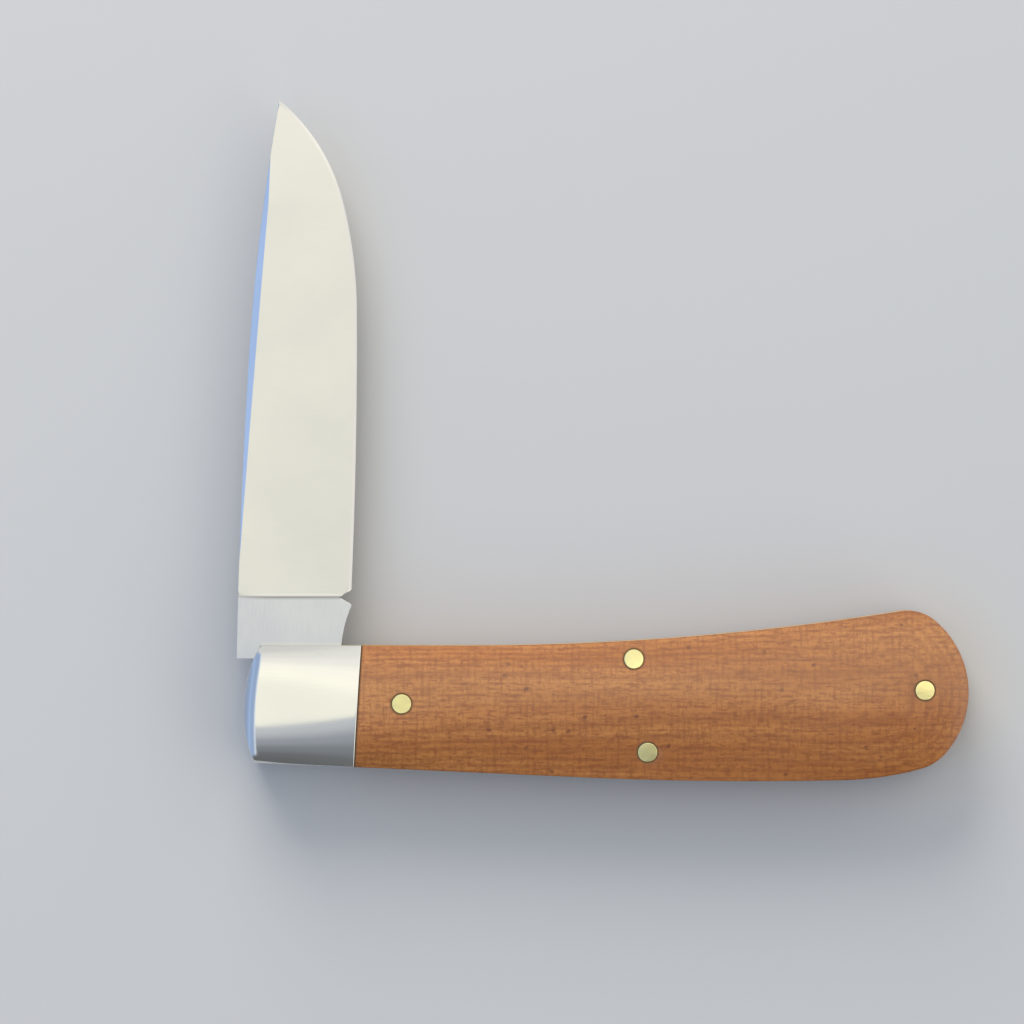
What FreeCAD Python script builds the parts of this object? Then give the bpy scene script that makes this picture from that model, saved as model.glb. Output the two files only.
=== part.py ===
import FreeCAD, Part
import math
import os
import Sketcher
from FreeCAD import Placement, Rotation, Vector

# Single blade slipjoint pocket knife, lying on its rear cover with the blade at the half stop.
# The origin is on the pivot axis in the plane of the rest face. X runs to the butt, Y runs to the
# blade tip at the half stop, and Z runs from the rear cover to the front cover. Millimetres.

doc = FreeCAD.newDocument("pocket_knife")

SIZES = [
    ("handle_length", 88.9, "closed length, bolster nose to butt"),
    ("nose_reach", 6.88, "pivot axis to bolster nose"),
    ("nose_radius", 16.28, "radius of the bolster nose seen from the side"),
    ("nose_drop", 1.21, "centre of the nose radius below the pivot"),
    ("mouth_rise", 6.72, "straight mouth edge above the pivot"),
    ("sway_start", 20.9, "pivot to where the mouth edge begins to rise"),
    ("flare_rise", 4.21, "rise of the mouth edge where it meets the butt"),
    ("flare_inset", 8.33, "butt end back to where that rise is measured"),
    ("butt_swell", 1.13, "butt radius over half the height of the handle there"),
    ("butt_lift", 0.41, "centre of the butt radius above the middle of that height"),
    ("butt_corner", 5.2, "radius where the mouth edge turns into the butt"),
    ("back_drop", 7.905, "back edge below the pivot"),
    ("back_slope", 2.58, "fall of the straight back edge, degrees"),
    ("belly_start", 34.4, "pivot to where the back edge begins to curve"),
    ("belly_radius", 474.0, "radius of the long curve of the back edge"),
    ("tail_length", 15.3, "butt end back to where the back edge lifts"),
    ("tail_radius", 39.2, "radius of the lifting back edge"),
    ("tail_corner", 6.5, "radius where the back edge turns into the butt"),
    ("cover_thickness", 3.65, "cover and bolster thickness"),
    ("liner_thickness", 0.6, "liner plate thickness"),
    ("well_width", 2.5, "space between the liners"),
    ("crown_width", 4.3, "width of the rounded shoulder of the handle"),
    ("crown_drop", 1.6, "height lost over the rounded shoulder"),
    ("crown_entry", 4.0, "slope where the shoulder leaves the flat, degrees"),
    ("nose_roll", 1.35, "radius rolled over the bolster nose"),
    ("bolster_reach", 7.2, "pivot axis to the joint of bolster and cover"),
    ("joint_slant", 3.5, "slant of that joint, degrees"),
    ("pin_diameter", 2.38, "cover, spring and butt pins"),
    ("pivot_diameter", 3.0, "pivot pin"),
    ("rivet_diameter", 1.6, "bolster rivets"),
    ("fore_pin_along", 12.5, "pivot to the fore cover pin"),
    ("fore_pin_drop", 0.42, "fore cover pin below the pivot"),
    ("mouth_pin_along", 40.95, "pivot to the mouth cover pin"),
    ("mouth_pin_rise", 5.07, "mouth cover pin above the pivot"),
    ("spring_pin_along", 42.64, "pivot to the spring pin"),
    ("spring_pin_drop", 6.37, "spring pin below the pivot"),
    ("butt_pin_inset", 5.4, "butt end to the butt pin"),
    ("butt_pin_rise", 1.21, "butt pin above the pivot"),
    ("rivet_along", 2.6, "pivot to the bolster rivets"),
    ("rivet_spread", 4.6, "bolster rivets above and below the pivot"),
    ("press_clearance", 0.01, "round the pins that are peened in"),
    ("pivot_clearance", 0.03, "round the pivot pin in the tang"),
    ("spring_hole_clearance", 0.02, "round the two pins in the spring"),
    ("side_clearance", 0.05, "each side of the blade in the well"),
    ("spring_side_clearance", 0.02, "each side of the spring in the well"),
    ("tip_room", 8.3, "closed blade tip to the butt end"),
    ("spine_offset", 7.85, "blade spine from the pivot at the tang step"),
    ("spine_lean", 1.2, "lean of the spine at the tang step, degrees"),
    ("spine_radius", 960.0, "spine radius next to the tang"),
    ("point_spine_radius", 290.0, "spine radius towards the point"),
    ("point_spine_length", 33.3, "length of that outer spine curve"),
    ("edge_offset", 6.28, "cutting edge from the pivot at the choil"),
    ("edge_lean", 2.5, "lean of the edge at the choil, degrees"),
    ("edge_radius", 716.0, "edge radius next to the choil"),
    ("blade_belly_radius", 55.8, "edge radius where it turns to the point"),
    ("blade_belly_length", 25.9, "tip back to the start of that curve"),
    ("point_curve_length", 12.3, "tip back to the start of the last curve"),
    ("flat_reach", 4.6, "pivot to each of the three tang flats"),
    ("tang_corner", 1.0, "radius of the tang corners"),
    ("tang_step", 5.02, "pivot to the square step of the tang"),
    ("fold_short", 4.0, "degrees short of a quarter turn when closed"),
    ("flat_end", 6.5, "pivot to the end of the closed flat"),
    ("kick_rise", 11.42, "pivot to the kick"),
    ("kick_offset", 6.3, "kick from the blade's centre line"),
    ("choil_rise", 13.45, "pivot to the heel of the edge"),
    ("notch_depth", 1.45, "depth of the notch between kick and edge"),
    ("plunge_rise", 12.55, "pivot to the plunge line"),
    ("plunge_radius", 0.35, "radius in the corner of the plunge"),
    ("point_thickness", 1.38, "spine thickness where the last curve starts"),
    ("tip_thickness", 0.5, "spine thickness at the very tip"),
    ("edge_thickness", 0.34, "blade thickness behind the edge bevel"),
    ("edge_bevel", 0.45, "width of the sharpened bevel"),
    ("sharp_thickness", 0.04, "thickness left at the very edge"),
    ("swedge_start", 15.5, "pivot to the start of the spine swedge"),
    ("swedge_stop_short", 3.0, "end of the swedge to the tip"),
    ("swedge_tilt", 25.0, "tilt of the swedge off the blade face, degrees"),
    ("flat_clearance", 0.03, "spring pad below the tang flat"),
    ("end_clearance", 0.05, "spring end to the tang step when open"),
    ("pad_length", 10.0, "spring end to the end of the spring pad"),
    ("kick_clearance", 0.06, "spring below the kick when closed"),
    ("kick_seat", 2.6, "length of the spring's seat for the kick"),
    ("arm_height", 2.5, "height of the thin arm of the spring"),
    ("pin_wall", 0.45, "spring left above the spring pin"),
    ("edge_room", 0.9, "spring below the edge of the closed blade"),
]

sheet = doc.addObject("Spreadsheet::Sheet", "Sizes")
for row, (alias, value, meaning) in enumerate(SIZES, start=1):
    sheet.set("A%d" % row, meaning)
    sheet.set("B%d" % row, str(value))
    sheet.setAlias("B%d" % row, alias)
doc.recompute()


def size(alias):
    """A driving dimension, read from the sheet."""
    return float(sheet.get(alias))


# Plane geometry with points as (x, y) pairs


def polar(centre, radius, degrees):
    turn = math.radians(degrees)
    return (centre[0] + radius * math.cos(turn), centre[1] + radius * math.sin(turn))


def along(start, towards, distance):
    """The point at a distance from start on the line through towards."""
    share = distance / math.dist(start, towards)
    return (start[0] + (towards[0] - start[0]) * share, start[1] + (towards[1] - start[1]) * share)


def turned(point, degrees):
    """A point carried round the pivot axis."""
    turn = math.radians(degrees)
    return (
        point[0] * math.cos(turn) - point[1] * math.sin(turn),
        point[0] * math.sin(turn) + point[1] * math.cos(turn),
    )


def crossings(centre, radius, other, other_radius):
    """The two points where two circles cross, the one left of centre to other first."""
    gap = math.dist(centre, other)
    reach = (radius**2 - other_radius**2 + gap**2) / (2 * gap)
    half = math.sqrt(radius**2 - reach**2)
    foot = along(centre, other, reach)
    side = ((other[1] - centre[1]) / gap, (other[0] - centre[0]) / gap)
    return (
        (foot[0] - half * side[0], foot[1] + half * side[1]),
        (foot[0] + half * side[0], foot[1] - half * side[1]),
    )


def on_left_of(centre, radius, height):
    """The left point of a circle at a height."""
    return (centre[0] - math.sqrt(radius**2 - (height - centre[1]) ** 2), height)


# Sketches are chains of straight and round stretches

LEFT = "left"
RIGHT = "right"
UP = Vector(0, 0, 1)


def straight(end):
    return (end, None, None)


def rounded(end, centre, turn):
    return (end, centre, turn)


def bearing(centre, point):
    return math.atan2(point[1] - centre[1], point[0] - centre[0])


def draw_chain(sketch, start, stretches, closed=True):
    """Draw stretches end to end and return (index, first end, last end) of each."""
    drawn = []
    here = start
    for end, centre, turn in stretches:
        if centre is None:
            stretch = Part.LineSegment(Vector(*here, 0), Vector(*end, 0))
            drawn.append((sketch.addGeometry(stretch, False), 1, 2))
        else:
            first, last = (here, end) if turn == LEFT else (end, here)
            begin = bearing(centre, first)
            finish = bearing(centre, last)
            if finish < begin:
                finish += 2 * math.pi
            circle = Part.Circle(Vector(*centre, 0), UP, math.dist(centre, first))
            index = sketch.addGeometry(Part.ArcOfCircle(circle, begin, finish), False)
            drawn.append((index, 1, 2) if turn == LEFT else (index, 2, 1))
        here = end
    following = drawn[1:] + drawn[:1] if closed else drawn[1:]
    for (index, _, tail), (other, head, _) in zip(drawn, following):
        sketch.addConstraint(Sketcher.Constraint("Coincident", index, tail, other, head))
    return drawn


def bind_radius(sketch, index, alias):
    place = sketch.addConstraint(Sketcher.Constraint("Radius", index, size(alias)))
    sketch.setExpression("Constraints[%d]" % place, "Sizes." + alias)


def bind_height(sketch, index, end, alias, below=False):
    """Tie the height of a point over or under the pivot to a size."""
    pair = (index, end, -1, 1) if below else (-1, 1, index, end)
    place = sketch.addConstraint(Sketcher.Constraint("DistanceY", *pair, size(alias)))
    sketch.setExpression("Constraints[%d]" % place, "Sizes." + alias)


def bind_reach(sketch, index, end, alias, behind=False):
    """Tie the distance of a point before or behind the pivot to a size."""
    pair = (index, end, -1, 1) if behind else (-1, 1, index, end)
    place = sketch.addConstraint(Sketcher.Constraint("DistanceX", *pair, size(alias)))
    sketch.setExpression("Constraints[%d]" % place, "Sizes." + alias)


def new_body(name):
    return doc.addObject("PartDesign::Body", name)


def new_sketch(body, name, role="XY_Plane", offset=None):
    """A sketch on one of the body's own origin planes, moved along its normal by an expression."""
    plane = next(item for item in body.Origin.OriginFeatures if item.Role == role)
    sketch = body.newObject("Sketcher::SketchObject", name)
    sketch.AttachmentSupport = [(plane, "")]
    sketch.MapMode = "FlatFace"
    if offset:
        sketch.setExpression("AttachmentOffset.Base.z", offset)
    return sketch


def new_pad(body, name, sketch, length):
    pad = body.newObject("PartDesign::Pad", name)
    pad.Profile = sketch
    pad.setExpression("Length", length)
    body.Tip = pad
    doc.recompute()
    return pad


def boolean(kind, name, base, tool):
    result = doc.addObject("Part::" + kind, name)
    result.Base = base
    result.Tool = tool
    return result


# Heights through the thickness, from the rest face up

TOTAL = "(2 * Sizes.cover_thickness + 2 * Sizes.liner_thickness + Sizes.well_width)"
REAR_LINER = "Sizes.cover_thickness"
WELL_FLOOR = "(Sizes.cover_thickness + Sizes.liner_thickness)"
FRONT_LINER = "(Sizes.cover_thickness + Sizes.liner_thickness + Sizes.well_width)"
FRONT_COVER = "(Sizes.cover_thickness + 2 * Sizes.liner_thickness + Sizes.well_width)"

total = 2 * size("cover_thickness") + 2 * size("liner_thickness") + size("well_width")
middle = total / 2
CLEAR = 12.0

# Handle outline: straight mouth edge, long rise, round butt, long back, round nose

butt_end = size("handle_length") - size("nose_reach")
mouth_rise = size("mouth_rise")
sway_start = (size("sway_start"), mouth_rise)
flare_run = butt_end - size("flare_inset") - size("sway_start")
sway_radius = (flare_run**2 + size("flare_rise") ** 2) / (2 * size("flare_rise"))
sway_centre = (size("sway_start"), mouth_rise + sway_radius)


def back_height(x):
    """Height of the straight back edge, which falls towards the butt."""
    return -size("back_drop") - x * math.tan(math.radians(size("back_slope")))


belly_start = (size("belly_start"), back_height(size("belly_start")))
belly_centre = polar(belly_start, size("belly_radius"), 90 - size("back_slope"))
tail_x = butt_end - size("tail_length")
tail_start = (
    tail_x,
    belly_centre[1] - math.sqrt(size("belly_radius") ** 2 - (tail_x - belly_centre[0]) ** 2),
)
tail_centre = along(tail_start, belly_centre, size("tail_radius"))

# The round butt spans the handle's height there, so it always meets both edges in a corner
butt_top = mouth_rise + size("flare_rise")
butt_radius = (butt_top - tail_start[1]) / 2 + size("butt_swell")
butt_centre = (butt_end - butt_radius, (butt_top + tail_start[1]) / 2 + size("butt_lift"))
corner_centre = crossings(
    butt_centre,
    butt_radius - size("butt_corner"),
    sway_centre,
    sway_radius + size("butt_corner"),
)[1]
corner_start = along(sway_centre, corner_centre, sway_radius)
corner_stop = along(butt_centre, corner_centre, butt_radius)
tail_corner_centre = crossings(
    butt_centre,
    butt_radius - size("tail_corner"),
    tail_centre,
    size("tail_radius") - size("tail_corner"),
)[1]
tail_corner_start = along(tail_centre, tail_corner_centre, size("tail_radius"))
tail_corner_stop = along(butt_centre, tail_corner_centre, butt_radius)

nose_centre = (size("nose_radius") - size("nose_reach"), -size("nose_drop"))
nose_top = on_left_of(nose_centre, size("nose_radius"), mouth_rise)
nose_foot_line = (nose_centre[0], back_height(nose_centre[0]))
slope = math.radians(size("back_slope"))
fall = (nose_centre[1] - nose_foot_line[1]) * math.cos(slope)
nose_foot_turn = math.degrees(math.acos(fall / size("nose_radius")))
nose_foot = polar(nose_centre, size("nose_radius"), -90 - size("back_slope") - nose_foot_turn)


def edge_run(start_x):
    """Mouth edge, butt and back edge as one run of tangent stretches, ending at the same x."""
    return (start_x, mouth_rise), [
        straight(sway_start),
        rounded(corner_start, sway_centre, LEFT),
        rounded(corner_stop, corner_centre, RIGHT),
        rounded(tail_corner_stop, butt_centre, RIGHT),
        rounded(tail_corner_start, tail_corner_centre, RIGHT),
        rounded(tail_start, tail_centre, RIGHT),
        rounded(belly_start, belly_centre, RIGHT),
        straight((start_x, back_height(start_x))),
    ]


# Handle blank: the covers, bolsters and liners are slices of this one contoured block

blank = new_body("handle_blank")
outline = new_sketch(blank, "handle_outline")
_, edge_stretches = edge_run(nose_top[0])
edge_stretches[-1] = straight(nose_foot)
edge_stretches.append(rounded(nose_top, nose_centre, RIGHT))
chain = draw_chain(outline, nose_top, edge_stretches)
for number, alias in ((2, "butt_corner"), (4, "tail_corner"), (5, "tail_radius"), (6, "belly_radius")):
    bind_radius(outline, chain[number][0], alias)
bind_radius(outline, chain[8][0], "nose_radius")
bind_height(outline, chain[0][0], 1, "mouth_rise")
bind_reach(outline, chain[0][0], 2, "sway_start")
bind_height(outline, chain[8][0], 3, "nose_drop", below=True)
bind_reach(outline, chain[7][0], 1, "belly_start")
block = new_pad(blank, "handle_block", outline, TOTAL)

# The nose edges are rolled over first, so that the roll runs out as a crescent at the shoulders
nose_edges = [
    "Edge%d" % number
    for number, edge in enumerate(block.Shape.Edges, start=1)
    if isinstance(edge.Curve, Part.Circle) and math.isclose(edge.Curve.Radius, size("nose_radius"))
]
roll = blank.newObject("PartDesign::Fillet", "nose_roll_over")
roll.Base = (block, nose_edges)
roll.setExpression("Radius", "Sizes.nose_roll")
blank.Tip = roll
doc.recompute()

# The shoulder is a shallow arc carried along the mouth edge, round the butt and back along the back
# edge. The arc passes through the flat at the entry slope and meets the side wall lower by the drop.
crown_width = size("crown_width")
crown_drop = size("crown_drop")
entry = math.radians(size("crown_entry"))
crown_radius = (crown_width**2 + crown_drop**2) / (
    2 * (crown_drop * math.cos(entry) - crown_width * math.sin(entry))
)
OVERRUN = 0.3
run_start = nose_top[0] - CLEAR


def shoulder_height(inward, above):
    """Height of the shoulder arc at a distance in from the side wall."""
    centre_in = crown_width + crown_radius * math.sin(entry)
    lift = math.sqrt(crown_radius**2 - (centre_in - inward) ** 2) - crown_radius * math.cos(entry)
    return total + lift if above else -lift


def shoulder_cut(name, above):
    """Cut the rounded shoulder of one side of the handle."""
    path = new_sketch(blank, name + "_path")
    start, stretches = edge_run(run_start)
    draw_chain(path, start, stretches, closed=False)
    profile = new_sketch(blank, name + "_profile", "YZ_Plane")
    profile.AttachmentOffset = Placement(Vector(0, 0, run_start), Rotation())
    inner = (mouth_rise - crown_width - OVERRUN, shoulder_height(crown_width + OVERRUN, above))
    outer = (mouth_rise + OVERRUN, shoulder_height(-OVERRUN, above))
    far = total + CLEAR if above else -CLEAR
    centre_z = total - crown_radius * math.cos(entry) if above else crown_radius * math.cos(entry)
    centre = (mouth_rise - crown_width - crown_radius * math.sin(entry), centre_z)
    draw_chain(profile, inner, [
        rounded(outer, centre, RIGHT if above else LEFT),
        straight((outer[0], far)),
        straight((inner[0], far)),
        straight(inner),
    ])
    cut = blank.newObject("PartDesign::SubtractivePipe", name)
    cut.Profile = profile
    cut.Spine = (path, ["Edge%d" % number for number in range(1, len(stretches) + 1)])
    blank.Tip = cut
    doc.recompute()


shoulder_cut("front_shoulder", above=True)
shoulder_cut("rear_shoulder", above=False)


def slab(name, floor, height):
    """A flat slice of the handle blank between two heights."""
    box = doc.addObject("Part::Box", name + "_slice")
    box.setExpression("Length", "Sizes.handle_length + %f" % (2 * CLEAR))
    box.setExpression("Width", "2 * (Sizes.mouth_rise + Sizes.back_drop + %f)" % CLEAR)
    box.setExpression("Height", height)
    box.setExpression("Placement.Base.x", "-Sizes.nose_reach - %f" % CLEAR)
    box.setExpression("Placement.Base.y", "-(Sizes.mouth_rise + Sizes.back_drop + %f)" % CLEAR)
    box.setExpression("Placement.Base.z", floor)
    return boolean("Common", name, blank, box)


# The joint between bolster and cover slants a little across the handle

bolster_zone = new_body("bolster_zone")
zone_sketch = new_sketch(bolster_zone, "bolster_zone_outline")
lean = math.tan(math.radians(size("joint_slant")))
ZONE_HALF = 3 * CLEAR
joint_top = (size("bolster_reach") + ZONE_HALF * lean, ZONE_HALF)
joint_foot = (size("bolster_reach") - ZONE_HALF * lean, -ZONE_HALF)
zone_front = -size("nose_reach") - CLEAR
draw_chain(zone_sketch, (zone_front, ZONE_HALF), [
    straight(joint_top),
    straight(joint_foot),
    straight((zone_front, -ZONE_HALF)),
    straight((zone_front, ZONE_HALF)),
])
new_pad(bolster_zone, "bolster_zone_pad", zone_sketch, TOTAL)

# Pins and rivets are round rods, ground off level with the contoured handle. Each hole is the pin's
# own diameter plus a named clearance.

FORE = ("Sizes.fore_pin_along", "-Sizes.fore_pin_drop")
MOUTH = ("Sizes.mouth_pin_along", "Sizes.mouth_pin_rise")
SPRING = ("Sizes.spring_pin_along", "-Sizes.spring_pin_drop")
BUTT = ("Sizes.handle_length - Sizes.nose_reach - Sizes.butt_pin_inset", "Sizes.butt_pin_rise")
PIVOT = ("0", "0")
UPPER_RIVET = ("Sizes.rivet_along", "Sizes.rivet_spread")
LOWER_RIVET = ("Sizes.rivet_along", "-Sizes.rivet_spread")
SIDE_HEIGHT = "(Sizes.cover_thickness + Sizes.liner_thickness)"


def rod(name, spot, diameter, floor="0", height=TOTAL, clearance=None):
    cylinder = doc.addObject("Part::Cylinder", name)
    spare = " + Sizes." + clearance if clearance else ""
    cylinder.setExpression("Radius", "Sizes.%s / 2%s" % (diameter, spare))
    cylinder.setExpression("Height", height)
    cylinder.setExpression("Placement.Base.x", spot[0])
    cylinder.setExpression("Placement.Base.y", spot[1])
    cylinder.setExpression("Placement.Base.z", floor)
    return cylinder


def hole_set(name, holes):
    """Rods for several holes, joined to one cutter."""
    cutter = doc.addObject("Part::MultiFuse", name)
    cutter.Shapes = [
        rod("%s_%d" % (name, number), spot, diameter, clearance=clearance)
        for number, (spot, diameter, clearance) in enumerate(holes, start=1)
    ]
    return cutter


COVER_HOLES = [(spot, "pin_diameter", "press_clearance") for spot in (FORE, MOUTH, SPRING, BUTT)]
BOLSTER_HOLES = [(PIVOT, "pivot_diameter", "press_clearance")]
for spot in (UPPER_RIVET, LOWER_RIVET):
    BOLSTER_HOLES.append((spot, "rivet_diameter", "press_clearance"))

nodes = []


def keep(label, result):
    """Name a finished piece, which also names its file."""
    result.Label = label
    nodes.append(result)


for side, cover_floor, liner_floor, rod_floor in (
    ("front", FRONT_COVER, FRONT_LINER, FRONT_LINER),
    ("rear", "0", REAR_LINER, "0"),
):
    # Liner: a plain plate of the handle's outline
    plate = slab(side + "_liner_plate", liner_floor, "Sizes.liner_thickness")
    holes = hole_set(side + "_liner_holes", COVER_HOLES + BOLSTER_HOLES)
    keep(side + "_liner", boolean("Cut", side + "_liner_drilled", plate, holes))

    # Bolster in front and cover behind, cut from the same contoured slice
    slice_shape = slab(side + "_side", cover_floor, "Sizes.cover_thickness")
    nose = boolean("Common", side + "_bolster_blank", slice_shape, bolster_zone)
    holes = hole_set(side + "_bolster_holes", BOLSTER_HOLES)
    keep(side + "_bolster", boolean("Cut", side + "_bolster_drilled", nose, holes))
    scale = boolean("Cut", side + "_cover_blank", slice_shape, bolster_zone)
    holes = hole_set(side + "_cover_holes", COVER_HOLES)
    keep(side + "_cover", boolean("Cut", side + "_cover_drilled", scale, holes))

    # Short pins and rivets hold cover and bolster to the liner on this side only
    for label, spot, diameter in (
        ("fore_pin", FORE, "pin_diameter"),
        ("mouth_pin", MOUTH, "pin_diameter"),
        ("upper_bolster_rivet", UPPER_RIVET, "rivet_diameter"),
        ("lower_bolster_rivet", LOWER_RIVET, "rivet_diameter"),
    ):
        stock = rod("%s_%s_rod" % (side, label), spot, diameter, rod_floor, SIDE_HEIGHT)
        ground = boolean("Common", "%s_%s_ground" % (side, label), blank, stock)
        keep("%s_%s" % (side, label), ground)

# Through pins: the pivot, the spring pin on which the spring rocks, and the butt pin
for label, spot, diameter in (
    ("pivot_pin", PIVOT, "pivot_diameter"),
    ("spring_pin", SPRING, "pin_diameter"),
    ("butt_pin", BUTT, "pin_diameter"),
):
    stock = rod(label + "_rod", spot, diameter)
    keep(label, boolean("Common", label + "_ground", blank, stock))

# Blade outline at the half stop: spine, point, edge, choil notch, kick and the three tang flats

tip_rise = butt_end - size("tip_room")
spine_start = (-size("spine_offset"), size("tang_step"))
spine_centre = polar(spine_start, size("spine_radius"), -size("spine_lean"))
spine_break = on_left_of(spine_centre, size("spine_radius"), tip_rise - size("point_spine_length"))
point_spine_centre = along(spine_break, spine_centre, size("point_spine_radius"))
tip = on_left_of(point_spine_centre, size("point_spine_radius"), tip_rise)

heel = (size("edge_offset"), size("choil_rise"))
edge_centre = polar(heel, size("edge_radius"), 180 - size("edge_lean"))


def on_right_of(centre, radius, height):
    return (centre[0] + math.sqrt(radius**2 - (height - centre[1]) ** 2), height)


belly_break = on_right_of(edge_centre, size("edge_radius"), tip_rise - size("blade_belly_length"))
blade_belly_centre = along(belly_break, edge_centre, size("blade_belly_radius"))
point_break = on_right_of(
    blade_belly_centre, size("blade_belly_radius"), tip_rise - size("point_curve_length")
)
inward = along(point_break, blade_belly_centre, 1.0)
reach_to_tip = (tip[0] - point_break[0], tip[1] - point_break[1])
facing = (inward[0] - point_break[0], inward[1] - point_break[1])
point_radius = math.dist(tip, point_break) ** 2 / (
    2 * (reach_to_tip[0] * facing[0] + reach_to_tip[1] * facing[1])
)
point_centre = along(point_break, blade_belly_centre, point_radius)

flat_reach = size("flat_reach")
tang_corner = size("tang_corner")
fold_short = math.radians(size("fold_short"))


def closed_flat(y):
    """The flat that faces the spring when the blade is closed."""
    return ((flat_reach + y * math.sin(fold_short)) / math.cos(fold_short), y)


flat_stop = closed_flat(size("flat_end"))
kick = (size("kick_offset"), size("kick_rise"))
kick_normal = polar(flat_stop, 1.0, -size("fold_short"))
kick_span = (kick[0] - flat_stop[0], kick[1] - flat_stop[1])
kick_radius = math.dist(kick, flat_stop) ** 2 / (
    2 * (kick_span[0] * (kick_normal[0] - flat_stop[0]) + kick_span[1] * (kick_normal[1] - flat_stop[1]))
)
kick_centre = along(flat_stop, kick_normal, kick_radius)
KICK_LAND = 0.35
kick_top = (kick[0], kick[1] + KICK_LAND)
notch_floor = (heel[0] - size("notch_depth"), (heel[1] + kick_top[1]) / 2)

fore_corner = (-flat_reach + tang_corner, -flat_reach + tang_corner)
rear_corner_y = -flat_reach + tang_corner
rear_corner = (closed_flat(rear_corner_y)[0] - tang_corner / math.cos(fold_short), rear_corner_y)

blade_floor = WELL_FLOOR + " + Sizes.side_clearance"
blade_thickness = size("well_width") - 2 * size("side_clearance")
blade_body = new_body("blade_blank")
blade_sketch = new_sketch(blade_body, "blade_outline", offset=blade_floor)
chain = draw_chain(blade_sketch, spine_start, [
    rounded(spine_break, spine_centre, RIGHT),
    rounded(tip, point_spine_centre, RIGHT),
    rounded(point_break, point_centre, RIGHT),
    rounded(belly_break, blade_belly_centre, RIGHT),
    rounded(heel, edge_centre, RIGHT),
    straight(notch_floor),
    straight(kick_top),
    straight(kick),
    rounded(flat_stop, kick_centre, LEFT if kick_radius > 0 else RIGHT),
    straight(polar(rear_corner, tang_corner, -size("fold_short"))),
    rounded(polar(rear_corner, tang_corner, -90), rear_corner, RIGHT),
    straight(polar(fore_corner, tang_corner, -90)),
    rounded(polar(fore_corner, tang_corner, 180), fore_corner, RIGHT),
    straight((-flat_reach, size("tang_step"))),
    straight(spine_start),
])
bind_radius(blade_sketch, chain[0][0], "spine_radius")
bind_radius(blade_sketch, chain[1][0], "point_spine_radius")
bind_radius(blade_sketch, chain[3][0], "blade_belly_radius")
bind_radius(blade_sketch, chain[4][0], "edge_radius")
bind_radius(blade_sketch, chain[10][0], "tang_corner")
bind_radius(blade_sketch, chain[12][0], "tang_corner")
bind_height(blade_sketch, chain[0][0], chain[0][1], "tang_step")
bind_reach(blade_sketch, chain[0][0], chain[0][1], "spine_offset", behind=True)
bind_height(blade_sketch, chain[5][0], 1, "choil_rise")
bind_reach(blade_sketch, chain[5][0], 1, "edge_offset")
bind_height(blade_sketch, chain[7][0], 2, "kick_rise")
bind_reach(blade_sketch, chain[7][0], 2, "kick_offset")
bind_height(blade_sketch, chain[11][0], 1, "flat_reach", below=True)
bind_reach(blade_sketch, chain[13][0], 1, "flat_reach", behind=True)
blade_pad = new_pad(blade_body, "blade_stock", blade_sketch, "Sizes.well_width - 2 * Sizes.side_clearance")

# Each face is ground flat from the spine down to the edge, and ends at the rounded plunge line. The
# spine tapers to the point and thins at the tip, so the grind is a loft through straight sections.

plunge_rise = size("plunge_rise")
GRIND_DEPTH = CLEAR
GRIND_OVERRUN = 2.0


def spine_x(rise):
    if rise < spine_break[1]:
        return on_left_of(spine_centre, size("spine_radius"), rise)[0]
    return on_left_of(point_spine_centre, size("point_spine_radius"), rise)[0]


def edge_x(rise):
    if rise < belly_break[1]:
        return on_right_of(edge_centre, size("edge_radius"), rise)[0]
    if rise < point_break[1]:
        return on_right_of(blade_belly_centre, size("blade_belly_radius"), rise)[0]
    return on_right_of(point_centre, point_radius, rise)[0]


def half_taper(rise):
    """Half of the blade's thickness along the even taper of the spine."""
    share = (rise - plunge_rise) / (point_break[1] - plunge_rise)
    return blade_thickness / 2 + (size("point_thickness") - blade_thickness) / 2 * share


def half_spine(rise):
    """Half of the blade's thickness along the spine, which thins faster over the last curve."""
    if rise < point_break[1]:
        return half_taper(rise)
    share = (rise - point_break[1]) / size("point_curve_length")
    return size("point_thickness") / 2 + (size("tip_thickness") - size("point_thickness")) / 2 * share


def grind_section(name, above, rise, spine, edge, high):
    """The wedge that is ground off one face, from the spine down to the edge, at one height."""
    low = size("edge_thickness") / 2
    fall = (high - low) / (edge - spine) * GRIND_OVERRUN
    sketch = doc.addObject("Sketcher::SketchObject", name)
    upright = Rotation(Vector(1, 0, 0), 90)
    spot = Vector(spine, rise, middle)
    sketch.Placement = Placement(spot, upright)
    way = 1 if above else -1
    corners = [
        (-GRIND_OVERRUN, way * (high + fall)),
        (edge - spine + GRIND_OVERRUN, way * (low - fall)),
        (edge - spine + GRIND_OVERRUN, way * GRIND_DEPTH),
        (-GRIND_OVERRUN, way * GRIND_DEPTH),
    ]
    draw_chain(sketch, corners[0], [straight(corner) for corner in corners[1:] + corners[:1]])
    return sketch


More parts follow.
